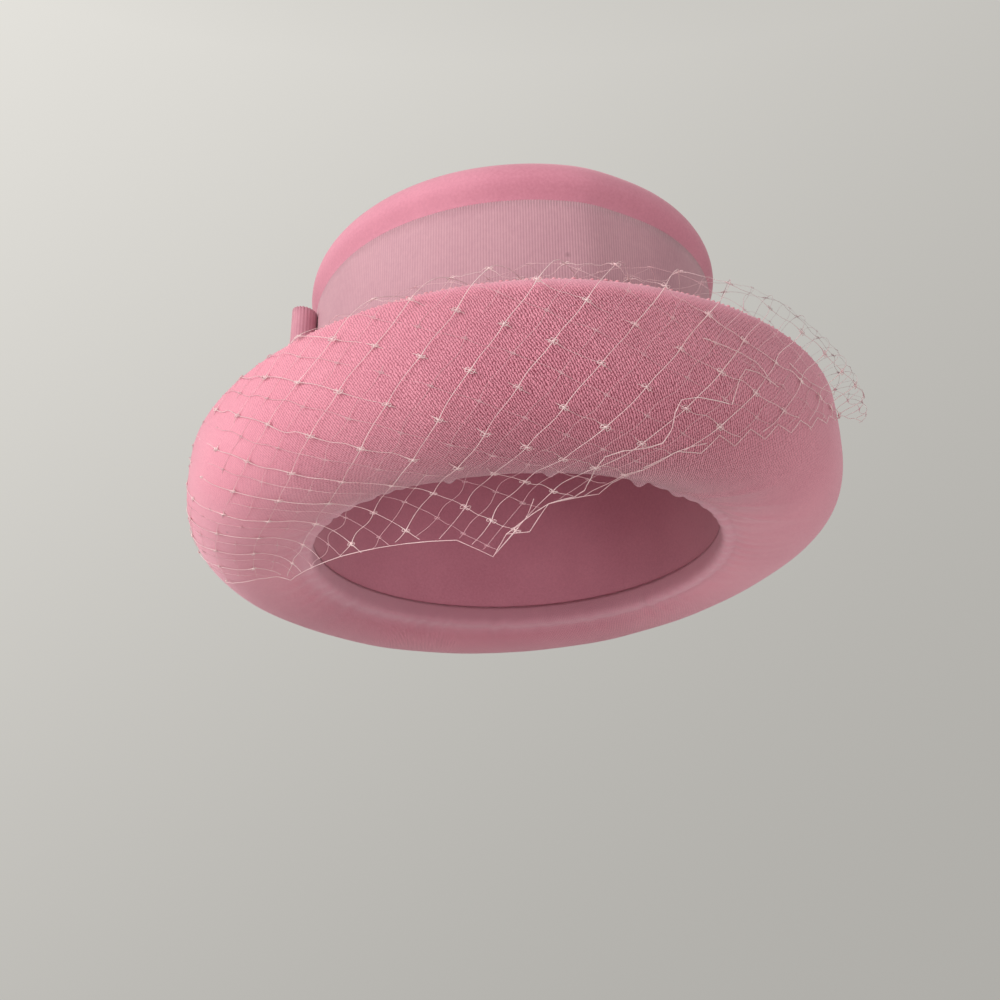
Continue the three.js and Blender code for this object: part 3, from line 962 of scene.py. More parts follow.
def hem_down(degrees):
    """How far down the net reaches at an azimuth."""
    return float(np.interp(degrees, HEM[:, 0], HEM[:, 1])) * MM


def seam_down(degrees):
    """How far above the brim's edge the net is sewn to the crown, as a negative distance."""
    return -float(brim_size(np.array([math.radians(degrees)]), "reach")[0]) - SEAM_SPARE


def inside_net(spot):
    """Whether a spot is on the net."""
    return HEM[0, 0] < spot[0] < HEM[-1, 0] and seam_down(spot[0]) < spot[1] < hem_down(spot[0])


def net_round(down_at):
    """The length of a line round the net, in millimetres, at a distance down for each azimuth."""
    azimuths = np.arange(HEM[0, 0], HEM[-1, 0] + 0.5)
    line = np.array([read_grid(course, azimuth, down_at(azimuth)) for azimuth in azimuths])
    return np.linalg.norm(np.diff(line, axis=0), axis=1).sum() / MM


for edge, down_at in (("seam", seam_down), ("brim's edge", lambda degrees: 0.0), ("fold", hem_down)):
    print("net round its", edge, "in mm", round(net_round(down_at)))
net_deep = np.array([hem_down(a) - seam_down(a) for a in np.arange(HEM[0, 0], HEM[-1, 0])]) / MM
print("net from seam to fold in mm", round(net_deep.min()), "to", round(net_deep.max()))


# %% [markdown]
# ## Threads
# A thread is a curve with a round bevel, which Blender turns into a fine tube: four sides are
# enough at this size. Each thread thickens into the twist of its knots, so the radius is set
# point by point. Threads wander a little between knots, since the stiffened net keeps the
# creases of its roll.

# %% Threads into tubes
THREAD_RADIUS = 0.1 * MM


def tubes(name, paths):
    """One mesh of tubes: each path is a list of (place, radius)."""
    curve = bpy.data.curves.new(name, "CURVE")
    curve.dimensions = "3D"
    curve.bevel_depth = THREAD_RADIUS
    curve.bevel_resolution = 0
    curve.use_fill_caps = True
    for path in paths:
        spline = curve.splines.new("POLY")
        spline.points.add(len(path) - 1)
        places = [(*place, 1.0) for place, radius in path]
        spline.points.foreach_set("co", np.array(places).ravel())
        spline.points.foreach_set("radius", [radius / THREAD_RADIUS for place, radius in path])
    holder = bpy.data.objects.new(name, curve)
    bpy.context.scene.collection.objects.link(holder)
    ready = holder.evaluated_get(bpy.context.evaluated_depsgraph_get())
    mesh = bpy.data.meshes.new_from_object(ready)
    bpy.data.objects.remove(holder)
    for polygon in mesh.polygons:
        polygon.use_smooth = True
    return mesh_object(name, mesh)


# %% Threads of one layer
def eased(value, low, high):
    """0 below low, 1 above high and a smooth climb between."""
    share = min(max((value - low) / (high - low), 0), 1)
    return share * share * (3 - 2 * share)


THREAD_STEPS = 9
KNOT_TWIST = 2.4 * MM
NAP_DEPTH = 0.55 * MM
NAP_FADES = (198, 228)
SINK_STARTS = (0.8 * MM, 4 * MM)
AIR_THINNING = 0.4
AIR_LUMP_THINNING = 0.6


def in_nap(degrees):
    """1 where the net lies deep in the nap on the wearer's right, falling to 0 at the front."""
    return 1 - eased(degrees, *NAP_FADES)


def thread_path(start, end, radius, sway, sink, draw, lift, knot_radius):
    """One thread between two knots, clipped to the net, or None where none of it is left."""
    wander = draw.uniform(-1, 1) * sway
    second = (0.5 + draw.uniform(-0.5, 0.5)) * sway
    rise = draw.uniform(-0.1, 0.35) * MM
    dip = sink * draw.uniform(0.5, 1.2)
    path = []
    for k in range(THREAD_STEPS + 1):
        share = k / THREAD_STEPS
        spot = [a + (b - a) * share for a, b in zip(start, end)]
        if not inside_net(spot):
            continue
        side = wander * math.sin(math.pi * share) + second * math.sin(2 * math.pi * share)
        spot[0] = spot[0] + side / round_size(*spot) * 0.6
        spot[1] = spot[1] + side * 0.8
        near_knot = min(share, 1 - share) * KNOT_STEP
        twist = max(0, 1 - near_knot / KNOT_TWIST)
        arch = math.sin(math.pi * share)
        sunk = dip * eased(near_knot, *SINK_STARTS) * draw.uniform(0.7, 1.1)
        bow = lift(*spot) + rise * arch - sunk - NAP_DEPTH * in_nap(spot[0])
        thick = radius + max(knot_radius - radius, 0) * twist
        path.append((on_veil(*spot, bow), thick * (1 - AIR_THINNING * in_the_air(*spot))))
    return path if len(path) > 1 else None


def net_layer(name, knots, lift, down_thread, cross_thread, seed, knot_radius):
    """The threads of one layer of net, along the walked lines and between them."""
    draw = random.Random(seed)
    paths = []
    for (line, count), spot in knots.items():
        for other, thread in (((line, count + 1), down_thread), ((line + 1, count), cross_thread)):
            if other not in knots:
                continue
            middle = [(a + b) / 2 for a, b in zip(spot, knots[other])]
            path = thread_path(spot, knots[other], *thread(*middle), draw, lift, knot_radius)
            if path:
                paths.append(path)
    return tubes(name, paths)


# %% Knots
CROSS_SLOPE = math.radians(25)
LOOP_STEPS = 12


def knot_loops(name, knots, lift, length, height, radius, seed):
    """Each knot as a small lying figure of eight, longer round the hat than down it."""
    draw = random.Random(seed)
    paths = []
    for spot in knots.values():
        if not inside_net(spot):
            continue
        lean = lean_at(*spot)
        thin = 1 - AIR_THINNING * in_the_air(*spot)
        wide = length * draw.uniform(0.75, 1.15) * thin
        high = height * draw.uniform(0.7, 1.3) * thin
        skew = draw.uniform(-0.5, 0.5)
        path = []
        for k in range(LOOP_STEPS + 1):
            turn = 2 * math.pi * k / LOOP_STEPS
            u = wide * math.sin(turn)
            v = high * math.sin(2 * turn + skew)
            across = u * math.cos(CROSS_SLOPE) - v * math.sin(lean)
            down = u * math.sin(CROSS_SLOPE) + v * math.cos(lean)
            place = on_veil(
                spot[0] + across / round_size(*spot), spot[1] + down,
                lift(*spot) + draw.uniform(0.05, 0.3) * MM - NAP_DEPTH * in_nap(spot[0]))
            path.append((place, radius * draw.uniform(0.8, 1.2) * thin))
        paths.append(path)
    return tubes(name, paths)


def knot_lumps(name, knots, lift, size, seed):
    """The tight middle of each knot as a small uneven lump."""
    draw = random.Random(seed)
    places, sizes, along = [], [], []
    for spot in knots.values():
        if not inside_net(spot):
            continue
        places.append(on_veil(*spot, lift(*spot) + 0.1 * MM - NAP_DEPTH * in_nap(spot[0])))
        thin = 1 - AIR_LUMP_THINNING * in_the_air(*spot)
        sizes.append([side * draw.uniform(0.75, 1.25) * thin for side in size])
        ahead = read_grid(course, spot[0] + 1, spot[1] + 1.2 * MM) - read_grid(course, *spot)
        along.append(ahead)
    return mesh_object(name, lump_mesh(places, sizes, along, seed + 1, 0.3))


# %% How much each thread shows
OPENING_DOWN = 70 * MM
LEAVES_BRIM = (OPENING_DOWN - 6 * MM, OPENING_DOWN + 2 * MM)
LEAVES_EDGE = (-6 * MM, 1 * MM)
DOWN_APPEARS = (208, 238)
UNDER_APPEARS = (212, 240)
RIGHT_ENDS = (216, 240)
FRONT_STARTS = (222, 246)
FRONT_ENDS = (274, 288)
UNDER_LEFT_STARTS = (276, 290)
LEFT_STARTS = (282, 294)
DOWN_THREAD = {"radius": 0.115, "thinned": 0.072, "sway": 0.35, "loosened": 0.5, "sink": 0.5}
CROSS_THREAD = {"radius": 0.105, "thinned": 0.05, "sway": 1.1, "loosened": 0.7, "sink": 2.6}
UNDER_THREAD = {"radius": 0.05, "at_side": 0.025, "hanging": 0.03, "sink": 0.6, "right_sink": 0.6}
UPPER_LIFT = 0.1 * MM
UNDER_LIFT = -0.15
UNDER_PRESSED = 0.3


def hanging_at(down):
    """0 where the net lies on the brim, 1 where it hangs clear over the opening."""
    return eased(down, *LEAVES_BRIM)


def down_thread(degrees, down):
    """Radius, sway and sink along the walked lines: they sink in the nap on the wearer's right."""
    hanging = hanging_at(down)
    hidden = (1 - eased(degrees, *DOWN_APPEARS)) * (1 - hanging)
    radius = DOWN_THREAD["radius"] - DOWN_THREAD["thinned"] * hidden
    sway = DOWN_THREAD["sway"] + DOWN_THREAD["loosened"] * hanging
    return radius * MM, sway * MM, DOWN_THREAD["sink"] * hidden * MM


def on_front(degrees, down):
    """1 where the net is pressed on the front of the brim, 0 where it hangs and at the sides."""
    hanging = hanging_at(down)
    return eased(degrees, *FRONT_STARTS) * (1 - eased(degrees, *FRONT_ENDS)) * (1 - hanging)


def cross_thread(degrees, down):
    """Radius, sway and sink between the walked lines: they sink into the cloth over the front."""
    hanging = hanging_at(down)
    in_front = on_front(degrees, down)
    at_side = (1 - eased(degrees, *RIGHT_ENDS)) * (1 - hanging)
    radius = CROSS_THREAD["radius"] - CROSS_THREAD["thinned"] * in_front
    sway = CROSS_THREAD["sway"] + CROSS_THREAD["loosened"] * at_side
    return radius * MM, sway * MM, CROSS_THREAD["sink"] * in_front * MM


def under_cross(degrees, down):
    """The same for the under layer, half hidden by the cloth until it hangs clear."""
    hanging = hanging_at(down)
    at_right = 1 - eased(degrees, *RIGHT_ENDS)
    at_side = max(at_right, eased(degrees, *UNDER_LEFT_STARTS))
    radius = UNDER_THREAD["radius"] + UNDER_THREAD["at_side"] * at_side
    radius = radius + UNDER_THREAD["hanging"] * hanging * (1 - at_side)
    sway = CROSS_THREAD["sway"] + CROSS_THREAD["loosened"] * at_right
    sink = UNDER_THREAD["sink"] * (1 - hanging) * (1 - 0.8 * at_right)
    return radius * MM, sway * MM, sink * MM


def under_down(degrees, down):
    """The under layer along the walked lines, which hardly shows on the wearer's right."""
    radius, sway, sink = under_cross(degrees, down)
    hanging = hanging_at(down)
    at_right = (1 - eased(degrees, *UNDER_APPEARS)) * (1 - hanging)
    sink = sink + UNDER_THREAD["right_sink"] * at_right * MM
    return radius * (1 - 0.4 * at_right), sway * (1 - 0.6 * at_right), sink


def in_the_air(degrees, down):
    """1 where the net stands clear of the brim's edge on the wearer's left, 0 elsewhere."""
    return eased(degrees, *LEFT_STARTS) * (1 - eased(down, *LEAVES_EDGE))


def upper_lift(degrees, down):
    """How far the upper layer stands off the course."""
    return UPPER_LIFT


def under_lift(degrees, down):
    """The same for the under layer, which the upper one presses into the pile at the front."""
    return (UNDER_LIFT - UNDER_PRESSED * on_front(degrees, down)) * MM


# %% Upper layer
upper_knots = lay_lattice(0, 0)
upper = net_layer(
    "veil_upper_threads", upper_knots, upper_lift, down_thread, cross_thread, 61, 0.26 * MM)
upper_loops = knot_loops(
    "veil_upper_loops", upper_knots, upper_lift, 1.5 * MM, 0.8 * MM, 0.12 * MM, 66)
upper_lumps = knot_lumps(
    "veil_upper_knots", upper_knots, upper_lift, (0.7 * MM, 0.5 * MM, 0.3 * MM), 62)

# %% Under layer
under_knots = lay_lattice(0.5, 0.46)
under = net_layer(
    "veil_under_threads", under_knots, under_lift, under_down, under_cross, 63, 0.1 * MM)
under_loops = knot_loops(
    "veil_under_loops", under_knots, under_lift, 0.9 * MM, 0.45 * MM, 0.07 * MM, 64)

# %% Folded edge and creases
HEM_RADIUS = 0.13 * MM
CREASE_STEPS = 3
EDGE_STEPS = 5


def edge_path(corners, radius, draw):
    """A thread along a list of corners, in short uneven steps."""
    path = []
    for start, end in zip(corners, corners[1:]):
        for k in range(EDGE_STEPS):
            share = k / EDGE_STEPS
            spot = [a + (b - a) * share for a, b in zip(start, end)]
            place = on_veil(spot[0], spot[1] * MM, draw.uniform(0.05, 0.3) * MM)
            path.append((place, radius * draw.uniform(0.8, 1.25)))
    return path


draw = random.Random(65)
edge_paths = [edge_path(HEM, HEM_RADIUS, draw)]
for crease in CREASES:
    line = catmull(np.array(crease["turns"], float), CREASE_STEPS)
    edge_paths.append(edge_path(line, crease["radius"] * MM, draw))
hem = tubes("veil_folded_edge", edge_paths)

# %% [markdown]
# ## Finishes shared by several pieces
# A node group is a named recipe that several materials can call. Tone gives the slow clouding
# that any dyed cloth has, and speck gives one small mark at a known place. Both put out only a
# mask, and each material decides what the mask does.

# %% Node helpers
def add_node(tree, kind, **settings):
    """A new node with its settings made."""
    node = tree.nodes.new(kind)
    for key, value in settings.items():
        setattr(node, key, value)
    return node


def feed(tree, source, target):
    """Joins an output to an input, or sets the input to a value."""
    if isinstance(source, bpy.types.NodeSocket):
        tree.links.new(source, target)
    else:
        target.default_value = source


def math_node(tree, operation, first, second=0.0, third=0.5):
    """The output of one sum on up to three values or sockets."""
    node = add_node(tree, "ShaderNodeMath", operation=operation)
    for value, target in zip((first, second, third), node.inputs):
        feed(tree, value, target)
    return node.outputs[0]


def times(tree, *values):
    """The product of several values or sockets."""
    product = values[0]
    for value in values[1:]:
        product = math_node(tree, "MULTIPLY", product, value)
    return product


def split_xyz(tree, vector):
    """The x, y and z outputs of a vector."""
    node = add_node(tree, "ShaderNodeSeparateXYZ")
    tree.links.new(vector, node.inputs[0])
    return tuple(node.outputs)


def noise_node(tree, vector, scale, detail=2.0, roughness=0.5):
    """The 0 to 1 output of a noise texture."""
    node = add_node(tree, "ShaderNodeTexNoise")
    feed(tree, vector, node.inputs["Vector"])
    feed(tree, scale, node.inputs["Scale"])
    node.inputs["Detail"].default_value = detail
    node.inputs["Roughness"].default_value = roughness
    return node.outputs["Fac"]


def centred_noise(tree, vector, scale, detail, size):
    """A noise of a given size that goes as far below 0 as above it."""
    noise = noise_node(tree, vector, scale, detail)
    return times(tree, math_node(tree, "SUBTRACT", noise, 0.5), size)


def mix_colour(tree, share, first, second):
    """The output of a colour mix."""
    node = add_node(tree, "ShaderNodeMix", data_type="RGBA")
    feed(tree, share, node.inputs["Factor"])
    feed(tree, first, node.inputs["A"])
    feed(tree, second, node.inputs["B"])
    return node.outputs["Result"]


def spread(tree, value, low, high, to_low=0.0, to_high=1.0):
    """A value's range stretched to another range, and held there."""
    node = add_node(tree, "ShaderNodeMapRange")
    feed(tree, value, node.inputs["Value"])
    ends = {"From Min": low, "From Max": high, "To Min": to_low, "To Max": to_high}
    for socket, end in ends.items():
        node.inputs[socket].default_value = end
    return node.outputs["Result"]


def new_group(name, inputs, outputs):
    """An empty shader node group with named sockets, and its two end nodes."""
    group = bpy.data.node_groups.new(name, "ShaderNodeTree")
    for socket, kind in inputs:
        group.interface.new_socket(socket, in_out="INPUT", socket_type=kind)
    for socket, kind in outputs:
        group.interface.new_socket(socket, in_out="OUTPUT", socket_type=kind)
    return group, add_node(group, "NodeGroupInput"), add_node(group, "NodeGroupOutput")


def use_group(tree, group, **values):
    """The group placed in a material, with its inputs set by name."""
    node = add_node(tree, "ShaderNodeGroup", node_tree=group)
    for key, value in values.items():
        feed(tree, value, node.inputs[key])
    return node


# %% Tone group
FLOAT, VECTOR = "NodeSocketFloat", "NodeSocketVector"
CLOUD_SHARE = 0.6
TONE_LOW, TONE_HIGH = 0.35, 0.65

tone_group, start, end = new_group(
    "tone", [("Vector", VECTOR), ("Cloud", FLOAT), ("Grain", FLOAT)], [("Mask", FLOAT)])
cloud = noise_node(tone_group, start.outputs["Vector"], start.outputs["Cloud"], 3)
grain = noise_node(tone_group, start.outputs["Vector"], start.outputs["Grain"], 2, 0.6)
cloud_part = times(tone_group, cloud, CLOUD_SHARE)
grain_part = times(tone_group, grain, 1 - CLOUD_SHARE)
tone_group.links.new(math_node(tone_group, "ADD", cloud_part, grain_part), end.inputs["Mask"])


def tone_mask(tree, place, cloud, grain):
    """The tone of a material, from 0 to 1, with clouds and grain of a given fineness."""
    tone = use_group(tree, tone_group, Vector=place, Cloud=cloud, Grain=grain)
    return spread(tree, tone.outputs["Mask"], TONE_LOW, TONE_HIGH)


# %% Speck group
SPECK_RAGGED_SCALE = 1500.0
SPECK_RAGGEDNESS = 0.8

speck_group, start, end = new_group(
    "speck", [("Vector", VECTOR), ("Centre", VECTOR), ("Radius", FLOAT)], [("Mask", FLOAT)])
ragged = noise_node(speck_group, start.outputs["Vector"], SPECK_RAGGED_SCALE, 1)
away = add_node(speck_group, "ShaderNodeVectorMath", operation="DISTANCE")
feed(speck_group, start.outputs["Vector"], away.inputs[0])
feed(speck_group, start.outputs["Centre"], away.inputs[1])
share = math_node(speck_group, "DIVIDE", away.outputs["Value"], start.outputs["Radius"])
worn = math_node(speck_group, "ADD", share, times(speck_group, ragged, SPECK_RAGGEDNESS))
speck_group.links.new(spread(speck_group, worn, 1.5, 0.7), end.inputs["Mask"])


def add_specks(tree, place, colour, specks, strength, dark):
    """A colour with a small dark mark at each given centre, of a given radius."""
    for centre, radius in specks:
        speck = use_group(tree, speck_group, Vector=place, Centre=centre, Radius=radius)
        colour = mix_colour(tree, times(tree, speck.outputs["Mask"], strength), colour, dark)
    return colour


# %% Material helpers
def new_material(name):
    """A node material: its tree, its Principled shader and its coordinates."""
    material = bpy.data.materials.new(name)
    material.use_nodes = True
    tree = material.node_tree
    tree.nodes.clear()
    shader = add_node(tree, "ShaderNodeBsdfPrincipled")
    output = add_node(tree, "ShaderNodeOutputMaterial")
    tree.links.new(shader.outputs[0], output.inputs["Surface"])
    coordinates = add_node(tree, "ShaderNodeTexCoord").outputs
    return material, tree, shader, coordinates


def set_surface(tree, shader, colour, roughness, specular=0.5):
    """Joins the colour, and sets how rough the surface is and how much it reflects."""
    feed(tree, colour, shader.inputs["Base Color"])
    shader.inputs["Roughness"].default_value = roughness
    shader.inputs["Specular IOR Level"].default_value = specular


def set_sheen(shader, weight, roughness, tint):
    """The soft pale light that loose fibres give at a surface's edge."""
    shader.inputs["Sheen Weight"].default_value = weight
    shader.inputs["Sheen Roughness"].default_value = roughness
    shader.inputs["Sheen Tint"].default_value = tint


def set_bump(tree, shader, height, distance, strength):
    """Feeds a height through a Bump node into the shader's normal."""
    bump = add_node(tree, "ShaderNodeBump")
    bump.inputs["Strength"].default_value = strength
    bump.inputs["Distance"].default_value = distance
    feed(tree, height, bump.inputs["Height"])
    tree.links.new(bump.outputs["Normal"], shader.inputs["Normal"])


# %% [markdown]
# ## Felt
# Fur felt is matt, with a short nap that goes pale where it is seen edge on. Its colour clouds
# slightly with the blocking steam, and its grain is finer than a millimetre.

# %% Felt material
FELT_PINKS = (0.545, 0.205, 0.28, 1), (0.645, 0.262, 0.348, 1)

felt, tree, shader, coordinates = new_material("pink_fur_felt")
place = coordinates["Object"]
colour = mix_colour(tree, tone_mask(tree, place, 22.0, 900.0), *FELT_PINKS)
set_surface(tree, shader, colour, 0.95, 0.25)
set_sheen(shader, 0.35, 0.45, (1.0, 0.72, 0.78, 1))
nap = noise_node(tree, place, 1400.0, 3, 0.65)
set_bump(tree, shader, nap, 0.25 * MM, 0.45)

# %% [markdown]
# ## Grosgrain
# The ribbon is a silky, paler and cooler pink than the felt. Its grooves are painted a little darker
# than its ridges, as painted shade in the hollows between the modelled ribs, and faint streaks run
# along its length where the light threads lie. The map's first number counts the way round in ribs,
# so that the painted stripes fall exactly on the modelled ribs.

# %% Ribbon material
# The third colour of each set is the painted shade in the grooves.
BAND_PINKS = (0.465, 0.242, 0.297, 1), (0.54, 0.293, 0.348, 1), (0.31, 0.14, 0.18, 1)
# The bow's pinks are the band's ribbon painted darker and more saturated, as painted shade.
BOW_SHADED_PINKS = (0.50, 0.20, 0.265, 1), (0.58, 0.25, 0.32, 1), (0.37, 0.135, 0.185, 1)
GROOVE_SHADE_SHARE = 0.32
BAND_SPECK = {"azimuth": 268, "height": 83 * MM, "radius": 1.3 * MM}
BAND_SPECK_DARK = (0.22, 0.10, 0.13, 1)


def ribbon_material(name, ribs, dark, pale, deep, specks):
    """Grosgrain with stripes of painted groove shade on a given number of ribs once round the piece's
    own map.
    """
    material, tree, shader, coordinates = new_material(name)
    place = coordinates["Object"]
    share_round = split_xyz(tree, coordinates["UV"])[0]
    # The groove mask picks out the hollows between the ribs, which are painted darker as painted shade.
    groove = math_node(tree, "COSINE", times(tree, share_round, ribs * 2 * math.pi))
    groove = spread(tree, groove, -0.2, 1.0)
    ridge = mix_colour(tree, tone_mask(tree, place, 35.0, 500.0), dark, pale)
    colour = mix_colour(tree, times(tree, groove, GROOVE_SHADE_SHARE), ridge, deep)
    colour = add_specks(tree, place, colour, specks, 0.55, BAND_SPECK_DARK)
    set_surface(tree, shader, colour, 0.62, 0.35)
    set_sheen(shader, 0.2, 0.5, (1.0, 0.85, 0.88, 1))
    set_bump(tree, shader, noise_node(tree, place, 2500.0, 2), 0.1 * MM, 0.3)
    return material


speck_x, speck_y = oval(math.radians(BAND_SPECK["azimuth"]), float(crown_side(78 * MM)) + RIBBON_WALL)
speck_centre = (float(speck_x), float(speck_y), BAND_SPECK["height"])
band_cloth = ribbon_material(
    "grosgrain_band", band_ribs, *BAND_PINKS, [(speck_centre, BAND_SPECK["radius"])])
loop_cloth = ribbon_material("grosgrain_bow", round(loop_length / RIB_PITCH), *BOW_SHADED_PINKS, [])
knot_cloth = ribbon_material("grosgrain_knot", knot_rows / RIB_COLUMNS, *BOW_SHADED_PINKS, [])

# %% [markdown]
# ## Knitted cloth
# The brim's cover is a fine jersey cut on the cross, so its two rows of stitches run slantwise in
# opposite ways and steepen as the cloth is drawn into the opening. One row of loops is closer
# than the other. Two sets of ridges are crossed: where both are high a stitch stands up pale, and
# where both are low the ground between the stitches is painted dark, as painted shade in the gaps.
# The rows are counted in millimetres on the piece's own map, and a slow noise lets them drift as
# real knitting does.

# %% Knit group
FINE_SLANT = math.radians(-60)
BROAD_SLANT = math.radians(42)
RIDGE_SHARPNESS = 0.8
BROAD_SHARE = 0.6

knit_group, start, end = new_group(
    "crossed_knit", [("Vector", VECTOR), ("Fine", FLOAT), ("Broad", FLOAT)], [("Height", FLOAT)])
in_mm = start.outputs["Vector"]
mm_round, mm_down, _ = split_xyz(knit_group, in_mm)
drift = centred_noise(knit_group, in_mm, 0.03, 2, 5.0)
jitter = centred_noise(knit_group, in_mm, 0.8, 1, 1.0)
wobble = math_node(knit_group, "ADD", drift, jitter)


def ridges(slant, pitch):
    """Ridges along lines at a slant, a pitch apart, as heights from 0 to 1."""
    first = times(knit_group, mm_round, math.sin(slant))
    second = times(knit_group, mm_down, -math.cos(slant))
    across = math_node(knit_group, "ADD", math_node(knit_group, "ADD", first, second), wobble)
    pitches = math_node(knit_group, "DIVIDE", across, pitch)
    wave = math_node(knit_group, "COSINE", times(knit_group, pitches, 2 * math.pi))
    ridge = math_node(knit_group, "MULTIPLY_ADD", wave, 0.5, 0.5)
    return math_node(knit_group, "POWER", ridge, RIDGE_SHARPNESS)


fine_ridge = ridges(FINE_SLANT, start.outputs["Fine"])
broad_ridge = ridges(BROAD_SLANT, start.outputs["Broad"])
loops = math_node(knit_group, "MULTIPLY_ADD", broad_ridge, BROAD_SHARE, 1 - BROAD_SHARE)
fibre = centred_noise(knit_group, in_mm, 2.2, 2, 1.1)
height = math_node(knit_group, "ADD", times(knit_group, fine_ridge, loops), fibre)
knit_group.links.new(height, end.inputs["Height"])

# %% Where the knit shows
FINE_PITCH = 0.83
BROAD_PITCH = 1.27
RELIEF_SLANT = -0.08
# The two relief levels below also set how much painted gap shade shows at the sides and the back.
SIDE_RELIEF_AND_SHADE = 0.25
BACK_RELIEF_AND_SHADE = 0.7
EDGE_FADE = 5 * MM

knit, tree, shader, coordinates = new_material("pink_jersey_knit")
place = coordinates["Object"]
share_round, down, _ = split_xyz(tree, coordinates["UV"])
in_mm = add_node(tree, "ShaderNodeMapping")
in_mm.inputs["Scale"].default_value = (brim_edge_length / MM, 1 / MM, 1)
tree.links.new(coordinates["UV"], in_mm.inputs["Vector"])
stitches = use_group(
    tree, knit_group, Vector=in_mm.outputs["Vector"], Fine=FINE_PITCH, Broad=BROAD_PITCH)
slanted = math_node(tree, "ADD", share_round, times(tree, down, RELIEF_SLANT / cover_length))
past_right = spread(tree, slanted, 0.53, 0.66)
before_left = spread(tree, share_round, 0.89, 0.79)
off_edge = spread(tree, down, cover_length, cover_length - EDGE_FADE)
at_front = times(tree, past_right, before_left, off_edge)
past_left = spread(tree, share_round, 0.02, 0.12, 0.0, BACK_RELIEF_AND_SHADE)
at_back = times(tree, past_left, spread(tree, share_round, 0.47, 0.37), off_edge)
# At the sides and the back the bump is weaker and less painted gap shade is mixed in, so those parts
# are painted paler: a painted sheen.
relief_and_gap_shade = spread(tree, math_node(tree, "MAXIMUM", at_front, at_back), 0.0, 1.0, SIDE_RELIEF_AND_SHADE, 1.0)

# %% Knit material
RAISED_PINKS = (0.70, 0.255, 0.342, 1), (0.775, 0.31, 0.40, 1)
# The gap colours are painted shade in the hollows between the stitches.
GAP_SHADE_PINKS = (0.19, 0.028, 0.055, 1), (0.25, 0.045, 0.075, 1)
# Paler stitch and gap colours near the opening at the front: painted light from below.
BOUNCE_LIT_RAISED, BOUNCE_LIT_GAP = (0.86, 0.45, 0.54, 1), (0.33, 0.09, 0.13, 1)
# A paler, greyer pink painted along the opening and the top edge: a painted sheen where the cloth turns
# edge on.
RIM_SHEEN_PINK = (0.66, 0.35, 0.44, 1)
RIM_SHEEN_SHARE = 0.45
BRIM_SPECKS = [
    {"azimuth": 193, "down": 34 * MM},
    {"azimuth": 190, "down": 44 * MM},
]
BRIM_SPECK_RADIUS = 0.9 * MM
BRIM_SPECK_SINK = -0.4 * MM
BRIM_SPECK_DARK = (0.15, 0.07, 0.09, 1)

mask = tone_mask(tree, place, 18.0, 700.0)
# Near the opening on the front of the brim both colours are painted paler, as painted light from below.
bounce_lit = spread(tree, down, 26 * MM, 4 * MM, 0.0, 0.75)
bounce_lit = times(tree, bounce_lit, times(tree, past_right, before_left))
raised = mix_colour(tree, bounce_lit, mix_colour(tree, mask, *RAISED_PINKS), BOUNCE_LIT_RAISED)
gap_shade = mix_colour(tree, bounce_lit, mix_colour(tree, mask, *GAP_SHADE_PINKS), BOUNCE_LIT_GAP)
# The painted gap shade is mixed in where the stitch height is low.
between = times(tree, spread(tree, stitches.outputs["Height"], 0.5, 0.05), relief_and_gap_shade)
colour = mix_colour(tree, between, raised, gap_shade)
# A band at the opening and one along the top edge are painted paler, as painted sheen.
at_opening = spread(tree, down, 6 * MM, 0.5 * MM, 0.0, RIM_SHEEN_SHARE)
at_edge = spread(tree, down, cover_length - 3 * MM, cover_length, 0.0, RIM_SHEEN_SHARE)
colour = mix_colour(tree, math_node(tree, "MAXIMUM", at_opening, at_edge), colour, RIM_SHEEN_PINK)
brim_specks = [
    (tuple(on_veil(speck["azimuth"], speck["down"], BRIM_SPECK_SINK)), BRIM_SPECK_RADIUS)
    for speck in BRIM_SPECKS]
colour = add_specks(tree, place, colour, brim_specks, 0.6, BRIM_SPECK_DARK)
set_surface(tree, shader, colour, 0.9, 0.3)
set_sheen(shader, 0.5, 0.45, (1.0, 0.74, 0.84, 1))
set_bump(tree, shader, times(tree, stitches.outputs["Height"], relief_and_gap_shade), 0.35 * MM, 0.8)

# %% Edge yarn material
YARN_PINKS = (0.62, 0.22, 0.29, 1), (0.84, 0.42, 0.48, 1)

yarn, tree, shader, coordinates = new_material("pink_edge_yarn")
colour = mix_colour(tree, tone_mask(tree, coordinates["Object"], 300.0, 1600.0), *YARN_PINKS)
set_surface(tree, shader, colour, 0.9)
set_sheen(shader, 0.5, 0.4, (1.0, 0.8, 0.84, 1))

# %% [markdown]
# ## Net thread
# The net is stiffened thread, paler than the hat and slightly shiny, and its dye is uneven along
# its length. The under layer is the same thread painted darker, as painted shade beneath the upper
# layer. High on the wearer's left, where the net stands clear of the brim against the light, it is
# painted towards grey, as painted shade.

# %% Net material
UPPER_PINKS = (0.70, 0.43, 0.47, 1), (0.88, 0.68, 0.69, 1)
# The under layer is the same thread painted darker, as painted shade beneath the upper layer.
UNDER_SHADED_PINKS = (0.66, 0.35, 0.41, 1), (0.80, 0.54, 0.58, 1)
SHADE_GREY = (0.42, 0.37, 0.38, 1)
SHADE_GREY_SHARE = 0.8


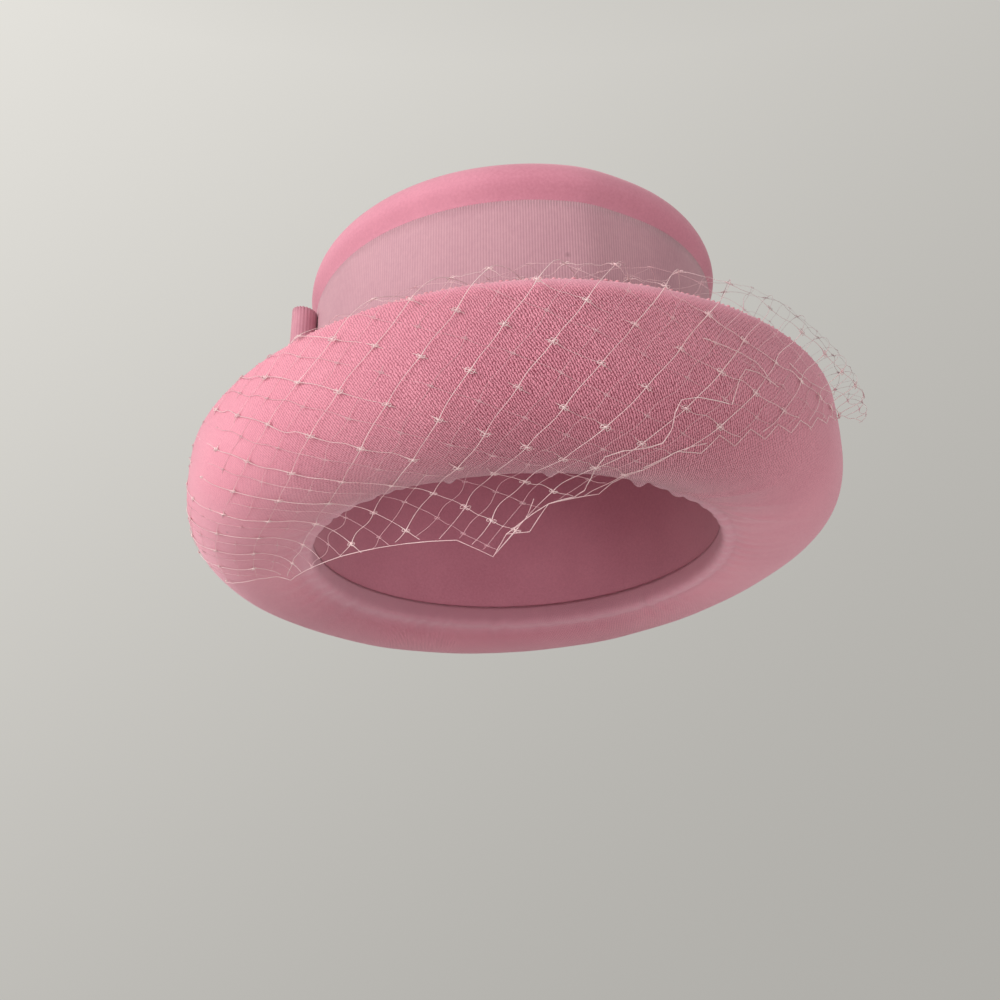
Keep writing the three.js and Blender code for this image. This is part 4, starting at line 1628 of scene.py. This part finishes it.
def net_material(name, dark, pale):
    """Stiffened pink thread between two tones."""
    material, tree, shader, coordinates = new_material(name)
    place = coordinates["Object"]
    x, _, z = split_xyz(tree, place)
    high = spread(tree, z, 38 * MM, 47 * MM)
    at_left = spread(tree, x, 20 * MM, 60 * MM)
    pink = mix_colour(tree, tone_mask(tree, place, 60.0, 1200.0), dark, pale)
    # High on the wearer's left the thread is painted towards grey, as painted shade where it stands
    # against the light.
    colour = mix_colour(tree, times(tree, high, at_left, SHADE_GREY_SHARE), pink, SHADE_GREY)
    set_surface(tree, shader, colour, 0.45)
    return material


upper_thread = net_material("net_thread_upper", *UPPER_PINKS)
under_thread = net_material("net_thread_under", *UNDER_SHADED_PINKS)

# %% [markdown]
# ## Dressing the pieces
# Each piece gets its material and rides on the hat's one body, and the plain solid that it
# details is hidden.

# %% Fit out
def dress(piece, material, slot, *nodes):
    """Gives a piece its material and its body, and hides the solids that it stands for; the slot is not
    used.
    """
    piece.data.materials.clear()
    piece.data.materials.append(material)
    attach(piece, "root")
    if nodes:
        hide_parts(*nodes)


dress(crown, felt, "crown_felt", "crown")
dress(band, band_cloth, "ribbon", "band")
dress(brim, knit, "brim_knit", "brim")
dress(edge_stitches, yarn, "brim_knit")
dress(loop_front, loop_cloth, "ribbon", "bow_loop_front")
dress(loop_back, loop_cloth, "ribbon", "bow_loop_back")
dress(knot, knot_cloth, "ribbon", "bow_knot")
dress(upper, upper_thread, "veil_net", "veil")
for piece in (upper_loops, upper_lumps, hem):
    dress(piece, upper_thread, "veil_net")
for piece in (under, under_loops):
    dress(piece, under_thread, "veil_net")

# %% [markdown]
# ## Light and room
# Soft daylight comes from the wearer's right and a little above, and the rest of the room is pale
# grey, brighter on that side and duller towards the ceiling. The world gives both the backdrop
# and the fill, one broad lamp gives the direction, and a weaker one, low in front, opens up the
# underside. The floor is far below, as the hat is held at head height.

# %% World
TOWARDS_LIGHT = Vector((-0.62, 0.0, 0.78)).normalized()
DIM_WALL, BRIGHT_WALL = (0.42, 0.41, 0.385, 1), (0.88, 0.86, 0.81, 1)
WALL_FALL_OFF = 2.2
CEILING = (0.25, 0.245, 0.235, 1)
CEILING_SHARE = 0.55

world = bpy.data.worlds.new("pale_room")
bpy.context.scene.world = world
world.use_nodes = True
tree = world.node_tree
tree.nodes.clear()
look = add_node(tree, "ShaderNodeTexCoord").outputs["Generated"]
facing = add_node(tree, "ShaderNodeVectorMath", operation="DOT_PRODUCT")
tree.links.new(look, facing.inputs[0])
facing.inputs[1].default_value = TOWARDS_LIGHT
lit = math_node(tree, "POWER", spread(tree, facing.outputs["Value"], -0.6, 0.75), WALL_FALL_OFF)
overhead = spread(tree, split_xyz(tree, look)[2], 0.64, 0.9, 0.0, CEILING_SHARE)
colour = mix_colour(tree, overhead, mix_colour(tree, lit, DIM_WALL, BRIGHT_WALL), CEILING)
background = add_node(tree, "ShaderNodeBackground")
tree.links.new(colour, background.inputs["Color"])
background.inputs["Strength"].default_value = 1.0
tree.links.new(background.outputs[0], add_node(tree, "ShaderNodeOutputWorld").inputs["Surface"])
bpy.context.scene.view_settings.view_transform = "Standard"

# %% Lamps
LAMPS = [
    {"name": "window", "place": (-1.8, -0.7, 0.4), "size": 1.3, "energy": 6.2},
    {"name": "front_fill", "place": (0.15, -1.6, -0.8), "size": 1.1, "energy": 1.6},
]
LAMP_SPREAD = math.radians(70)
LAMP_COLOUR = (1.0, 0.985, 0.96)
for lamp in LAMPS:
    light = bpy.data.lights.new(lamp["name"], "AREA")
    light.shape = "SQUARE"
    light.size = lamp["size"]
    light.energy = lamp["energy"]
    light.spread = LAMP_SPREAD
    light.color = LAMP_COLOUR
    stand = bpy.data.objects.new(lamp["name"], light)
    stand.location = lamp["place"]
    stand.rotation_euler = (-Vector(lamp["place"])).to_track_quat("-Z", "Y").to_euler()
    stand.visible_camera = False
    bpy.context.scene.collection.objects.link(stand)

# %% Floor
FLOOR_HEIGHT = -1.4
FLOOR_RADIUS = 40
FLOOR_GREYS = (0.82, 0.81, 0.79, 1), (0.86, 0.85, 0.83, 1)
bm = bmesh.new()
bmesh.ops.create_circle(bm, cap_ends=True, radius=FLOOR_RADIUS, segments=96)
bmesh.ops.translate(bm, verts=bm.verts, vec=(0, 0, FLOOR_HEIGHT))
floor = mesh_object("floor", to_mesh(bm, "floor"))
floor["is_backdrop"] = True
floor_paint, tree, shader, coordinates = new_material("pale_floor")
colour = mix_colour(tree, noise_node(tree, coordinates["Object"], 1.5, 2), *FLOOR_GREYS)
set_surface(tree, shader, colour, 0.8)
floor.data.materials.append(floor_paint)

# %% Sizes and finish
seen_low, seen_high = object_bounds()
sizes = {
    "cad": [list(cad_low), list(cad_high)],
    "visual": [list(seen_low), list(seen_high)],
}
print("visual box in mm", [round(s / MM) for s in seen_high - seen_low])
